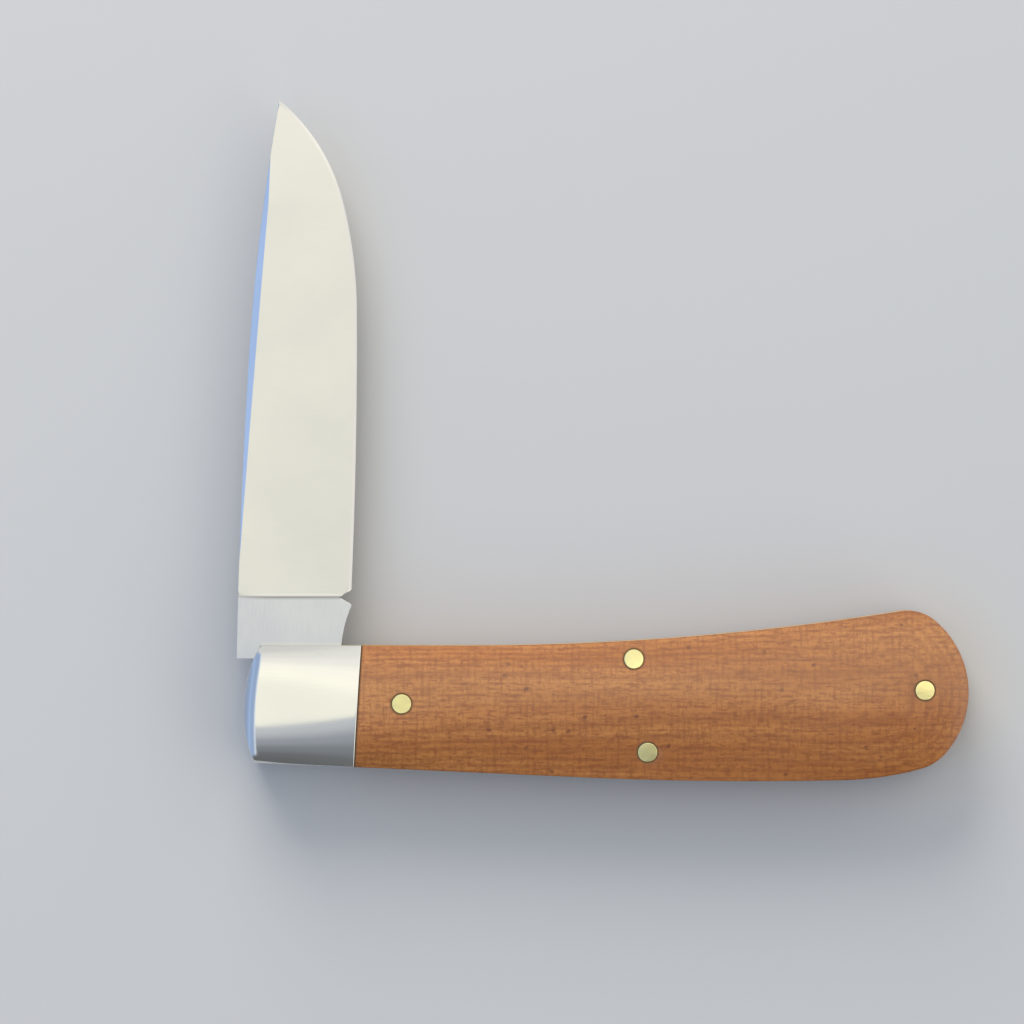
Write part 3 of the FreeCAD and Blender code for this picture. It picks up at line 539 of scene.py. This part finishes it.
bolster_loop = np.concatenate([
    straight(nose_top, joint_top, bolster_step),
    straight(joint_top, joint_foot, bolster_step),
    straight(joint_foot, nose_foot, bolster_step),
    rounded(nose_centre, nose_foot, nose_top, step=bolster_step),
])
bolster_holes = [(pivot_spot, pivot_radius)] + [(spot, rivet_radius) for spot in rivet_spots.values()]
roll_rows = [nose_roll * (1 - math.cos(turn * DEGREE)) for turn in range(20, 88, 8)]
bolster_area = region(
    bolster_loop,
    bolster_holes,
    eased_rows(bolster_break) + roll_rows,
    bolster_hole_rows,
    bolster_step,
)
bolster_joint = distance_to(bolster_area[0], np.array([joint_foot, joint_top]))
bolster_face = nose_face(bolster_area[0])
bolster_face -= eased(bolster_area[2], bolster_break) + eased(bolster_joint, joint_break)

silver = (0.80, 0.79, 0.755, 1)
dull_silver = (0.77, 0.762, 0.73, 1)
bolster_silver = ground_metal("bolster_silver", silver, dull_silver, 0.075, (0.25, 9, 9), 0.0003 * MM)

for side in ("front", "rear"):
    node = side + "_bolster"
    end_piece = slab(node + "_end", bolster_area, *faced(node, bolster_face, side))
    placed(end_piece, "handle", "bolster_metal", bolster_silver, node)

# Pivot pin and bolster rivets. Nickel silver rods of the bolsters' own alloy, peened into them and
# polished away with them, so that their ends are level and all but lost in the bright face.

rod_rows = (0.1 * MM, 0.3 * MM)
rod_lattice = 0.2 * MM


def silver_rod(node, spot, radius, *sides):
    """A rod along the handle's thickness whose ends on the given sides follow the crown."""
    area = region(circle(spot, radius), rows=rod_rows, lattice=rod_lattice)
    rod = slab(node + "_rod", area, *faced(node, crown(area[0]), *sides))
    placed(rod, "handle", "bolster_metal", bolster_silver, node)


for label, spot in rivet_spots.items():
    for side in ("front", "rear"):
        silver_rod("%s_%s_bolster_rivet" % (side, label), spot, rivet_radius, side)
silver_rod("pivot_pin", pivot_spot, pivot_radius, "front", "rear")

# Covers. A pair of scales cut from resin bonded canvas sheet, pinned to the liners behind the
# bolsters, then contoured and buffed to a low gloss that shows the weave and the layers.

cover_break = 0.10 * MM
hole_break = 0.06 * MM
hole_room = 0.03 * MM
hole_row = 0.3 * MM
contour_rows = [row * MM for row in (0.35, 0.6, 0.95, 1.35, 1.8, 2.3, 2.85, 3.45, 4.1)]
cover_lattice = 0.55 * MM

cover_loop = np.concatenate([
    mouth_to_back(joint_top, joint_foot)[:-1],
    straight(joint_foot, joint_top),
])
cover_holes = [(spot, pin_radius + hole_room) for spot in (fore_spot, mouth_spot, spring_spot, butt_spot)]
cover_area = region(
    cover_loop,
    cover_holes,
    eased_rows(cover_break) + contour_rows,
    eased_rows(hole_break) + [hole_row],
    cover_lattice,
)
cover_joint = distance_to(cover_area[0], np.array([joint_foot, joint_top]))
# Distance from the pin holes and from the joint: it rounds those rims, and the finish paints shade along
# them.
cover_area = (*cover_area[:3], np.minimum(cover_area[3], cover_joint))
cover_face = crown(cover_area[0]) - eased(cover_area[2], cover_break) - eased(cover_area[3], hole_break)

warp_pitch, weft_pitch = 0.80, 0.72
warp_run, weft_run = (1.1, 0.45, 1.1), (0.32, 1.1, 1.1)
warp_share, weft_share = 0.42, 0.58
sway_grain = (0.12, 0.12, 0.12)
thread_sway = 5.0
fibre_grain, fibre_share = (0.42, 4.6, 4.6), 0.35
dash_grain, dash_share = (1.0, 2.8, 2.8), 0.65
cross_grain, cross_share = (4.4, 0.90, 4.4), 0.45
cloud_grain = (0.02, 0.32, 0.32)
layer_pitch = 0.26
layer_grain = (0.03, 0.30, 0.30)
layer_sway = 4.0
layer_share = 0.30
speck_grain = (0.50, 0.60, 0.60)
fray_grain = (2.0, 2.0, 2.0)
fray_reach = (0.22, 0.22, 0.22)
speck_small, speck_large = 0.10, 0.23
speck_share = 0.85
# Painted shade round the pin holes and along the bolster joint: where it starts and stops in millimetres,
# and its strength.
ring_shade_start, ring_shade_stop, ring_shade_share = 0.06, 0.30, 0.80
cover_rough, cover_smooth = 0.20, 0.14
resin_ior = 1.80
canvas_relief = 0.006 * MM
gold = (0.508, 0.192, 0.036, 1)
tan = (0.422, 0.138, 0.015, 1)
thread_brown = (0.238, 0.058, 0.003, 1)
layer_brown = (0.218, 0.053, 0.002, 1)
speck_brown = (0.150, 0.034, 0.002, 1)
# The brown of the painted shade round the pin holes and along the joint.
ring_shade_brown = (0.120, 0.050, 0.003, 1)


def canvas_laminate(name):
    """Resin bonded canvas: a weave of uneven threads, fine fibres, layers cut open, and dark specks.

    A thread is a sine across it that fades in and out along it. Layers are a cosine of height that
    wanders, so they show as wide bands on the crown and as lines along the edges. Specks are Voronoi
    cells. A thin ring round the pin holes and along the joint with the bolster is darker and duller:
    painted shade.
    """
    finish = Finish(name)
    parts = finish.tree.nodes.new("ShaderNodeSeparateXYZ")
    finish.set(parts, {0: finish.sizes()})
    sway = finish.math("MULTIPLY", finish.noise(sway_grain), thread_sway)
    weave = []
    for axis, pitch, run in (("X", warp_pitch, warp_run), ("Y", weft_pitch, weft_run)):
        phase = finish.math("MULTIPLY", parts.outputs[axis], 2 * math.pi / pitch)
        wave = finish.math("SINE", finish.math("ADD", phase, sway))
        uneven = finish.spread(finish.noise(run, detail=4.0), 0.42, 0.66)
        weave.append(finish.math("MULTIPLY", finish.spread(wave, -0.5, 1.0), uneven))
    warp, weft = weave
    fibres = finish.noise(fibre_grain, detail=3.0, roughness=0.6)
    dashes = finish.noise(dash_grain, detail=3.0, roughness=0.6)
    crossing = finish.noise(cross_grain, detail=3.0, roughness=0.6)
    clouds = finish.noise(cloud_grain, detail=3.0)
    layer_phase = finish.math("MULTIPLY", parts.outputs["Z"], 2 * math.pi / layer_pitch)
    ripple = finish.math("MULTIPLY", finish.noise(layer_grain, detail=4.0), layer_sway)
    layers = finish.math("COSINE", finish.math("ADD", layer_phase, ripple))

    colour = finish.mixed(finish.spread(clouds, 0.34, 0.66), tan, gold)
    for strands, low, high, share in (
        (fibres, 0.34, 0.52, fibre_share),
        (dashes, 0.32, 0.52, dash_share),
        (crossing, 0.32, 0.50, cross_share),
    ):
        colour = finish.mixed(finish.spread(strands, low, high, share, 0.0), colour, thread_brown)
    for threads, share in ((warp, warp_share), (weft, weft_share)):
        colour = finish.mixed(finish.math("MULTIPLY", threads, share), colour, thread_brown)
    colour = finish.mixed(finish.spread(layers, -0.4, 1.0, 0.0, layer_share), colour, layer_brown)

    cells = finish.tree.nodes.new("ShaderNodeTexVoronoi")
    frayed = finish.noise(fray_grain)
    ragged = finish.add("VectorMath", {0: frayed, 1: fray_reach}, operation="MULTIPLY")
    spots = finish.add("VectorMath", {0: finish.sizes(speck_grain), 1: ragged}, operation="ADD")
    finish.set(cells, {"Vector": spots, "Scale": 1.0})
    chosen = finish.tree.nodes.new("ShaderNodeSeparateColor")
    finish.set(chosen, {0: cells.outputs["Color"]})
    reach = finish.spread(chosen.outputs[1], 0.0, 1.0, speck_small, speck_large)
    depth = finish.math("SUBTRACT", 1.0, finish.math("DIVIDE", cells.outputs["Distance"], reach))
    picked = finish.spread(chosen.outputs[0], 0.42, 0.62, 0.0, speck_share)
    speck = finish.math("MULTIPLY", finish.spread(depth, 0.0, 0.8), picked)
    colour = finish.mixed(speck, colour, speck_brown)
    # Painted shade: darker and duller in a thin ring round the pin holes and along the joint with the
    # bolster.
    ring_shade = finish.spread(finish.attribute("to_hole"), ring_shade_start, ring_shade_stop, ring_shade_share, 0.0)
    colour = finish.mixed(ring_shade, colour, ring_shade_brown)

    gloss = finish.spread(fibres, 0.3, 0.7, cover_rough, cover_smooth)
    relief = finish.math("SUBTRACT", fibres, finish.math("MULTIPLY", finish.math("ADD", warp, weft), 0.4))
    finish.set(finish.base, {
        "Base Color": colour,
        "Roughness": finish.math("MAXIMUM", gloss, ring_shade),
        "IOR": resin_ior,
        "Normal": finish.bumped(relief, canvas_relief, 0.6),
    })
    return finish.material


cover_canvas = canvas_laminate("cover_canvas")

for side in ("front", "rear"):
    node = side + "_cover"
    scale_piece = slab(node + "_scale", cover_area, *faced(node, cover_face, side))
    placed(scale_piece, "handle", "cover_laminate", cover_canvas, node)

# Cover, spring and butt pins. Brass rods through covers and liners, peened and filed level with the
# contoured covers. The covers are darker in a thin ring round each of them: painted shade.

pin_break = 0.06 * MM
pin_proud = 0.04 * MM
pin_dome = 0.035 * MM
pin_lattice = 0.22 * MM

bright_brass = (1.0, 0.90, 0.42, 1)
filed_brass = (0.95, 0.82, 0.37, 1)
pin_brass = ground_metal("pin_brass", bright_brass, filed_brass, 0.31, (0.6, 0.9, 0.9), 0.060 * MM)


def brass_pin(node, spot, *sides):
    """A rod whose ends on the given sides follow the crowned covers, domed by the square of the radius."""
    area = region(circle(spot, pin_radius), rows=eased_rows(pin_break), lattice=pin_lattice)
    dome = pin_dome * (abs(area[0] - spot) / pin_radius) ** 2
    face = np.minimum(crown(area[0]) + pin_proud - dome, handle_top) - eased(area[2], pin_break)
    rod = slab(node + "_rod", area, *faced(node, face, *sides))
    placed(rod, "handle", "pin_brass", pin_brass, node)


for label, spot in (("_fore_pin", fore_spot), ("_mouth_pin", mouth_spot)):
    for side in ("front", "rear"):
        brass_pin(side + label, spot, side)
brass_pin("spring_pin", spring_spot, "front", "rear")
brass_pin("butt_pin", butt_spot, "front", "rear")

# Blade. Flat ground from carbon steel sheet, with a long curved edge, a swedge filed along the back
# of the point, and a tang with three flats that turns on the pivot between the liners.

spine_offset = 7.85 * MM
spine_lean = 1.2 * DEGREE
spine_radius = 960.0 * MM
point_spine_radius = 290.0 * MM
point_spine_length = 33.3 * MM
edge_offset = 6.28 * MM
edge_lean = 2.5 * DEGREE
edge_radius = 716.0 * MM
blade_belly_radius = 55.8 * MM
blade_belly_length = 25.9 * MM
point_curve_length = 12.3 * MM
flat_reach = 4.6 * MM
tang_corner = 1.0 * MM
tang_step = 5.02 * MM
fold_short = 4.0 * DEGREE
flat_end = 6.5 * MM
kick = complex(6.3, 11.42) * MM
kick_land = 0.35 * MM
choil_rise = 13.45 * MM
notch_depth = 1.45 * MM
plunge_rise = 12.55 * MM
plunge_radius = 0.35 * MM
point_thickness = 1.38 * MM
tip_thickness = 0.5 * MM
edge_thickness = 0.34 * MM
edge_bevel = 0.30 * MM
sharp_thickness = 0.04 * MM
swedge_start = 15.5 * MM
swedge_stop_short = 2.4 * MM
swedge_tilt = 25.0 * DEGREE
blade_break = 0.04 * MM
pivot_hole_room = 0.03 * MM
pivot_hole_row = 0.2 * MM
blade_step = 0.4 * MM
notch_step = 0.15 * MM
kick_step = 0.2 * MM
blade_rows = [row * MM for row in (0.02, 0.05, 0.12, 0.3, 0.8)]
blade_lattice = 0.7 * MM

blade_low, blade_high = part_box("blade")
blade_middle = (blade_low.z + blade_high.z) / 2
half_stock = (blade_high.z - blade_low.z) / 2
tip_rise = blade_high.y


def left_side(centre, radius, rise):
    """The left side of a circle at a height."""
    return centre.real - np.sqrt(radius**2 - (rise - centre.imag) ** 2)


def right_side(centre, radius, rise):
    """The right side of a circle at a height."""
    return centre.real + np.sqrt(radius**2 - (rise - centre.imag) ** 2)


spine_start = complex(-spine_offset, tang_step)
spine_centre = spine_start + spine_radius * np.exp(-1j * spine_lean)
spine_break_rise = tip_rise - point_spine_length
spine_break = complex(left_side(spine_centre, spine_radius, spine_break_rise), spine_break_rise)
point_spine_centre = toward(spine_break, spine_centre, point_spine_radius)
tip = complex(left_side(point_spine_centre, point_spine_radius, tip_rise), tip_rise)
heel = complex(edge_offset, choil_rise)
edge_centre = heel - edge_radius * np.exp(-1j * edge_lean)
belly_break_rise = tip_rise - blade_belly_length
belly_break = complex(right_side(edge_centre, edge_radius, belly_break_rise), belly_break_rise)
blade_belly_centre = toward(belly_break, edge_centre, blade_belly_radius)
point_break_rise = tip_rise - point_curve_length
point_break = complex(
    right_side(blade_belly_centre, blade_belly_radius, point_break_rise), point_break_rise)
inward = toward(point_break, blade_belly_centre, 1.0) - point_break
point_radius = abs(tip - point_break) ** 2 / (2 * ((tip - point_break) * inward.conjugate()).real)
point_centre = point_break + point_radius * inward


def closed_flat(rise):
    """The tang's flat for the closed blade, which leans by the angle that the fold stops short."""
    return complex((flat_reach + rise * math.sin(fold_short)) / math.cos(fold_short), rise)


flat_stop = closed_flat(flat_end)
flat_normal = np.exp(-1j * fold_short)
kick_radius = abs(kick - flat_stop) ** 2 / (2 * ((kick - flat_stop) * flat_normal.conjugate()).real)
kick_top = kick + 1j * kick_land
notch_floor = complex(heel.real - notch_depth, (heel.imag + kick_top.imag) / 2)
fore_corner = (tang_corner - flat_reach) * (1 + 1j)
rear_corner = closed_flat(fore_corner.imag) - tang_corner / math.cos(fold_short)
rear_corner_start = rear_corner + tang_corner * flat_normal
rear_corner_stop = rear_corner - 1j * tang_corner
fore_corner_start = fore_corner - 1j * tang_corner
fore_corner_stop = fore_corner - tang_corner
step_foot = complex(-flat_reach, tang_step)

edge_line = np.concatenate([
    rounded(point_centre, tip, point_break, step=blade_step),
    rounded(blade_belly_centre, point_break, belly_break, step=blade_step),
    rounded(edge_centre, belly_break, heel, step=blade_step),
    [heel],
])
blade_loop = np.concatenate([
    rounded(spine_centre, spine_start, spine_break, step=blade_step),
    rounded(point_spine_centre, spine_break, tip, step=blade_step),
    edge_line[:-1],
    straight(heel, notch_floor, notch_step),
    straight(notch_floor, kick_top, notch_step),
    straight(kick_top, kick, notch_step),
    rounded(flat_stop + kick_radius * flat_normal, kick, flat_stop, left=True, step=kick_step),
    straight(flat_stop, rear_corner_start, blade_step),
    rounded(rear_corner, rear_corner_start, rear_corner_stop, step=notch_step),
    straight(rear_corner_stop, fore_corner_start, blade_step),
    rounded(fore_corner, fore_corner_start, fore_corner_stop, step=notch_step),
    straight(fore_corner_stop, step_foot, blade_step),
    straight(step_foot, spine_start, kick_step),
])


def spine_side(rise):
    """Where the spine lies at a height."""
    outer = left_side(point_spine_centre, point_spine_radius, rise)
    return np.where(rise < spine_break_rise, left_side(spine_centre, spine_radius, rise), outer)


def edge_side(rise):
    """Where the cutting edge lies at a height."""
    belly = right_side(blade_belly_centre, blade_belly_radius, np.clip(rise, 0, point_break_rise))
    point = right_side(point_centre, point_radius, np.clip(rise, point_break_rise, tip_rise))
    outer = np.where(rise < point_break_rise, belly, point)
    return np.where(rise < belly_break_rise, right_side(edge_centre, edge_radius, rise), outer)


def half_taper(rise):
    """Half the thickness along the even taper of the spine from the plunge towards the point."""
    share = np.maximum(rise - plunge_rise, 0) / (point_break_rise - plunge_rise)
    return half_stock + (point_thickness / 2 - half_stock) * share


def half_spine(rise):
    """Half the thickness at the spine, which thins faster over the last curve of the edge."""
    share = (rise - point_break_rise) / point_curve_length
    return np.minimum(half_taper(rise), (point_thickness + (tip_thickness - point_thickness) * share) / 2)


least_length = 0.001 * MM
past_edge = 0.05


def ground_half(points):
    """Half the thickness of the flat grind: a straight fall from the spine to just past the edge."""
    spine, edge = spine_side(points.imag), edge_side(points.imag)
    share = (edge - points.real) / np.maximum(edge - spine, least_length)
    low = edge_thickness / 2
    return low + (half_spine(points.imag) - low) * np.clip(share, -past_edge, 1)


plunge_margin = 0.004


def plunge_crease(count=90):
    """Where the rounded plunge comes up to the ricasso: its arc's height equals the grind's depth."""
    share = np.linspace(plunge_margin, 1 - plunge_margin, count)
    across = spine_side(plunge_rise) + (edge_side(plunge_rise) - spine_side(plunge_rise)) * share
    wall = across + 1j * plunge_rise
    depth = np.clip(half_stock - ground_half(wall), 0, plunge_radius)
    return wall, plunge_radius - np.sqrt(2 * plunge_radius * depth - depth**2)


swedge_stop = tip_rise - swedge_stop_short
swedge_ends = np.array([
    complex(spine_side(rise), rise) for rise in (swedge_start, swedge_stop)
])
swedge_way = (swedge_ends[1] - swedge_ends[0]) / abs(swedge_ends[1] - swedge_ends[0])


def swedge_half(points):
    """Half the thickness under the swedge: a plane through the chord that falls outwards by its tilt."""
    reach = (points - swedge_ends[0]) * swedge_way.conjugate()
    share = reach.real / abs(swedge_ends[1] - swedge_ends[0])
    low, high = half_taper(swedge_ends.imag)
    return low + (high - low) * share - math.tan(swedge_tilt) * reach.imag


def bevel_half(points):
    """Half the thickness under the edge bevel, which rises from the sharp edge, led on past the tip."""
    slope = (edge_thickness - sharp_thickness) / 2 / edge_bevel
    past_tip = np.concatenate([[2 * edge_line[0] - edge_line[1]], edge_line])
    return sharp_thickness / 2 + slope * distance_to(points, past_tip)


def moored(line):
    """A line led on at both ends to the nearest points of the blade's outline."""
    ends = [blade_loop[abs(blade_loop - end).argmin()] for end in (line[0], line[-1])]
    return np.concatenate([ends[:1], line, ends[1:]])


def meeting(line, way, higher, lower, steps=40):
    """Where two faces meet on the way from a line: the span is halved until their heights agree."""
    near, far = np.zeros(len(line)), np.full(len(line), half_stock)
    for _ in range(steps):
        middle = (near + far) / 2
        spot = line + way * middle
        before = higher(spot) > lower(spot)
        near, far = np.where(before, middle, near), np.where(before, far, middle)
    line = line + way * near
    return moored(line[line.real > spine_side(line.imag) + blade_break / 2])


def blade_half(points):
    """Half the blade's thickness: the lowest of stock, plunge and grind, edge bevel and swedge."""
    beyond = points.imag - plunge_rise
    half = ground_half(points) + eased(np.maximum(beyond, 0), plunge_radius)
    half = np.where(beyond > least_length, np.minimum(half, half_stock), half_stock)
    half = np.where(points.imag > choil_rise - blade_step, np.minimum(half, bevel_half(points)), half)
    return np.minimum(half, swedge_half(points))


wall, climb = plunge_crease()
within = wall.real < notch_floor.real - 2 * blade_break
plunge_line = moored((wall + 1j * climb)[within])
plunge_rows = np.concatenate([
    wall + 1j * (climb + (plunge_radius - climb) * share)
    for share in (0.1, 0.25, 0.4, 0.6, 0.8, 1.0, 1.4)
])
edge_way = np.gradient(edge_line)
swedge_line = meeting(straight(*swedge_ends, step=blade_step), 1j * swedge_way, swedge_half, ground_half)
bevel_line = meeting(edge_line[1:-1], -1j * (edge_way / abs(edge_way))[1:-1], ground_half, bevel_half)
blade_creases = (plunge_line, swedge_line, bevel_line)
blade_area = region(
    blade_loop,
    [(pivot_spot, pivot_radius + pivot_hole_room)],
    blade_rows,
    [pivot_hole_row],
    blade_lattice,
    blade_creases,
    plunge_rows,
)
# The blade's to_hole becomes its distance from the plunge crease, along which its finish paints shade.
blade_area = (*blade_area[:3], distance_to(blade_area[0], plunge_line))

steel = (0.705, 0.695, 0.672, 1)
dull_steel = (0.697, 0.687, 0.664, 1)
# Blade and tang steel take 0.3 of painted shade along the plunge crease.
blade_steel = ground_metal("blade_steel", steel, dull_steel, 0.18, (0.2, 9, 9), 0.0004 * MM, 0.3)
tang_bright = (0.660, 0.662, 0.682, 1)
tang_dull = (0.630, 0.634, 0.660, 1)
tang_steel = ground_metal("tang_steel", tang_bright, tang_dull, 0.22, (7, 0.4, 7), 0.0003 * MM, 0.3)
filed_bright = (0.90, 0.905, 0.905, 1)
filed_dull = (0.86, 0.865, 0.87, 1)
swedge_steel = ground_metal("swedge_steel", filed_bright, filed_dull, 0.16, (9, 0.2, 9), 0.0003 * MM)

half = blade_half(blade_area[0])
half = half - np.minimum(eased(blade_area[2], blade_break), half / 4)
blade = slab("blade_ground", blade_area, blade_middle + half, blade_middle - half, blade_creases)
placed(blade, "blade", "blade_steel", blade_steel, "blade")
blade.data.materials.append(tang_steel)
blade.data.materials.append(swedge_steel)
middles = np.empty(3 * len(blade.data.polygons), np.float32)
blade.data.polygons.foreach_get("center", middles)
x, y, _ = middles.reshape(-1, 3).T
on_tang = y < np.interp(x, wall.real, plunge_rise + climb)
on_swedge = (swedge_line[0].imag < y) & (y < swedge_line[-1].imag)
on_swedge &= x < np.interp(y, swedge_line.imag, swedge_line.real)
finish_number = np.where(on_tang, 1, np.where(on_swedge, 2, 0))
blade.data.polygons.foreach_set("material_index", finish_number.astype(np.int32))

# Backspring. Hardened steel, ground level with the back of the handle, held by the spring and butt
# pins. On the knife its long arm bends as the tang's corners ride over its pad; here the leaf is still.

spring_break = 0.03 * MM
end_room = 0.05 * MM
pad_length = 10.0 * MM
flat_room = 0.03 * MM
kick_room = 0.06 * MM
kick_seat = 2.6 * MM
arm_height = 2.5 * MM
pin_wall = 0.45 * MM
edge_room = 0.9 * MM
hump_bearing = 135 * DEGREE
spring_hole_room = 0.02 * MM
spring_step = 0.8 * MM

folded = np.exp(-1j * (math.pi / 2 - fold_short))
kick_in = kick * folded
hump_radius = pin_radius + pin_wall
hump_left = spring_spot + hump_radius * np.exp(1j * hump_bearing)
hump_top = spring_spot + 1j * hump_radius
pad_front = end_room - tang_step
pad_start = complex(pad_front, -flat_reach - flat_room)
arm_start = kick_in.real + kick_seat
arm_stop = hump_left.real - hump_radius - pin_wall
belly_in, point_in = blade_belly_centre * folded, point_centre * folded
room_at_belly = toward(belly_in, belly_break * folded, blade_belly_radius + edge_room)
room_at_break = toward(belly_in, point_break * folded, blade_belly_radius + edge_room)
room_at_tip = toward(point_in, tip * folded, point_radius + edge_room)
spring_top_x = room_at_tip.real + edge_room
around = mouth_to_back(nose_top, complex(pad_front, back_height(pad_front)))
butt_side = np.argmax(around.real > spring_top_x)
spring_corners = [
    pad_start,
    pad_start + pad_length,
    kick_in - kick_seat / 2 - 1j * kick_room,
    kick_in + kick_seat / 2 - 1j * kick_room,
    complex(arm_start, back_height(arm_start) + arm_height),
    complex(arm_stop, back_height(arm_stop) + arm_height),
    hump_left,
]
spring_loop = np.concatenate(
    [straight(one, other, spring_step) for one, other in zip(spring_corners, spring_corners[1:])]
    + [
        rounded(spring_spot, hump_left, hump_top),
        straight(hump_top, room_at_belly, spring_step),
        rounded(belly_in, room_at_belly, room_at_break, left=True),
        rounded(point_in, room_at_break, room_at_tip, left=True),
        straight(room_at_tip, around[butt_side], spring_step),
        around[butt_side:],
    ]
)
spring_area = region(
    spring_loop,
    [(spot, pin_radius + spring_hole_room) for spot in (spring_spot, butt_spot)],
    eased_rows(spring_break),
)

spring_bright = (0.66, 0.65, 0.63, 1)
spring_dull = (0.54, 0.535, 0.52, 1)
spring_steel = ground_metal("spring_steel", spring_bright, spring_dull, 0.28, (0.25, 12, 12), 0.002 * MM)

low, high = (corner.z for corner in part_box("backspring"))
loss = eased(spring_area[2], spring_break)
spring = slab("backspring_leaf", spring_area, high - loss, low + loss)
spring.data.materials.append(spring_steel)
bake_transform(spring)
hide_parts("backspring")

# Stage. A plain pale floor that the knife lies on, a soft key lamp from above the mouth side, and a
# studio of pale panels: cream overhead, cool on the left, and shaded towards the back of the handle.

floor_half = 2.0
floor_gap = 0.02 * MM
floor_height = handle_low - floor_gap
floor_grey = (0.56, 0.56, 0.56, 1)
floor_mesh = bpy.data.meshes.new("floor")
floor_mesh.from_pydata([
    (-floor_half, -floor_half, floor_height),
    (floor_half, -floor_half, floor_height),
    (floor_half, floor_half, floor_height),
    (-floor_half, floor_half, floor_height),
], [], [(0, 1, 2, 3)])
floor = bpy.data.objects.new("floor", floor_mesh)
bpy.context.scene.collection.objects.link(floor)
floor_finish = Finish("floor_paper")
floor_finish.set(floor_finish.base, {"Base Color": floor_grey, "Roughness": 0.9})
floor_mesh.materials.append(floor_finish.material)

key = bpy.data.lights.new("key", "AREA")
key.shape = "DISK"
key.size = 0.5
key.energy = 3.8
key.color = (1.0, 0.95, 0.86)
key_lamp = bpy.data.objects.new("key", key)
key_place = Vector((-0.14, 0.62, 0.36))
key_lamp.location = key_place
key_lamp.rotation_euler = (-key_place).to_track_quat("-Z", "Y").to_euler()
key_lamp.visible_glossy = False
bpy.context.scene.collection.objects.link(key_lamp)

world = bpy.data.worlds.new("studio")
bpy.context.scene.world = world
world.use_nodes = True
studio = world.node_tree
studio.nodes.clear()
bearing = studio.nodes.new("ShaderNodeTexCoord")
bearing_parts = studio.nodes.new("ShaderNodeSeparateXYZ")
studio.links.new(bearing.outputs["Generated"], bearing_parts.inputs[0])
along_y = studio.nodes.new("ShaderNodeMapRange")
along_y.inputs["From Min"].default_value = -1.0
studio.links.new(bearing_parts.outputs["Y"], along_y.inputs["Value"])
along_x = studio.nodes.new("ShaderNodeMath")
along_x.operation = "ABSOLUTE"
studio.links.new(bearing_parts.outputs["X"], along_x.inputs[0])


def panel_ramp(share, interpolation, stops):
    """The light of a panel at a share of the way along it, blended between its stops."""
    ramp = studio.nodes.new("ShaderNodeValToRGB")
    ramp.color_ramp.interpolation = interpolation
    for number, (place, colour) in enumerate(stops):
        marks = ramp.color_ramp.elements
        mark = marks[number] if number < 2 else marks.new(place)
        mark.position = place
        mark.color = colour
    studio.links.new(share, ramp.inputs["Fac"])
    return ramp.outputs["Color"]


panel_light = panel_ramp(along_y.outputs[0], "EASE", (
    (0.00, (0.15, 0.158, 0.170, 1)),
    (0.065, (0.17, 0.180, 0.194, 1)),
    (0.205, (0.242, 0.266, 0.302, 1)),
    (0.34, (0.36, 0.390, 0.445, 1)),
    (0.472, (0.62, 0.655, 0.71, 1)),
    (0.479, (1.11, 1.11, 0.99, 1)),
    (0.56, (1.25, 1.23, 1.10, 1)),
    (0.66, (1.23, 1.21, 1.10, 1)),
    (0.78, (1.07, 1.06, 1.01, 1)),
    (0.89, (0.95, 0.95, 0.92, 1)),
    (1.00, (0.78, 0.78, 0.77, 1)),
))
window_light = panel_ramp(along_x.outputs[0], "LINEAR", (
    (0.00, (0.95, 1.02, 1.10, 1)),
    (0.17, (0.84, 0.94, 1.08, 1)),
    (0.32, (0.40, 0.52, 0.76, 1)),
    (0.60, (0.36, 0.49, 0.75, 1)),
    (0.77, (0.43, 0.59, 0.92, 1)),
    (0.90, (0.34, 0.45, 0.68, 1)),
    (1.00, (0.36, 0.43, 0.58, 1)),
))

for colour, spans in (
    (window_light, (("X", -0.05, -0.20), ("Y", -0.95, -0.80), ("Y", 0.95, 0.80))),
    ((1.32, 1.29, 1.20, 1), (("X", 0.45, 0.62),)),
    ((0.95, 0.945, 0.92, 1), (("X", 0.68, 0.86),)),
):
    panel = studio.nodes.new("ShaderNodeMix")
    panel.data_type = "RGBA"
    if isinstance(colour, tuple):
        panel.inputs[7].default_value = colour
    else:
        studio.links.new(colour, panel.inputs[7])
    span_share = panel.inputs[0]
    for axis, start, stop in spans:
        share = studio.nodes.new("ShaderNodeMapRange")
        share.interpolation_type = "SMOOTHSTEP"
        share.inputs["From Min"].default_value = start
        share.inputs["From Max"].default_value = stop
        studio.links.new(bearing_parts.outputs[axis], share.inputs["Value"])
        studio.links.new(share.outputs[0], span_share)
        span_share = share.inputs["To Max"]
    studio.links.new(panel_light, panel.inputs[6])
    panel_light = panel.outputs[2]
around_object = studio.nodes.new("ShaderNodeBackground")
studio.links.new(panel_light, around_object.inputs["Color"])
world_output = studio.nodes.new("ShaderNodeOutputWorld")
studio.links.new(around_object.outputs[0], world_output.inputs["Surface"])
bpy.context.scene.view_settings.view_transform = "Standard"

# Camera. Straight above the knife, with the handle level across the frame, as the photo was taken.

view_centre = (26.03 * MM, 23.08 * MM)
view_width = 125.74 * MM
view_distance = 1200 * MM
view_height = 7.5 * MM
camera = bpy.data.cameras.new("camera")
camera.sensor_width = 36.0
camera.lens = camera.sensor_width * view_distance / view_width
camera_object = bpy.data.objects.new("camera", camera)
camera_object.location = (*view_centre, view_height + view_distance)
bpy.context.scene.collection.objects.link(camera_object)
bpy.context.scene.camera = camera_object
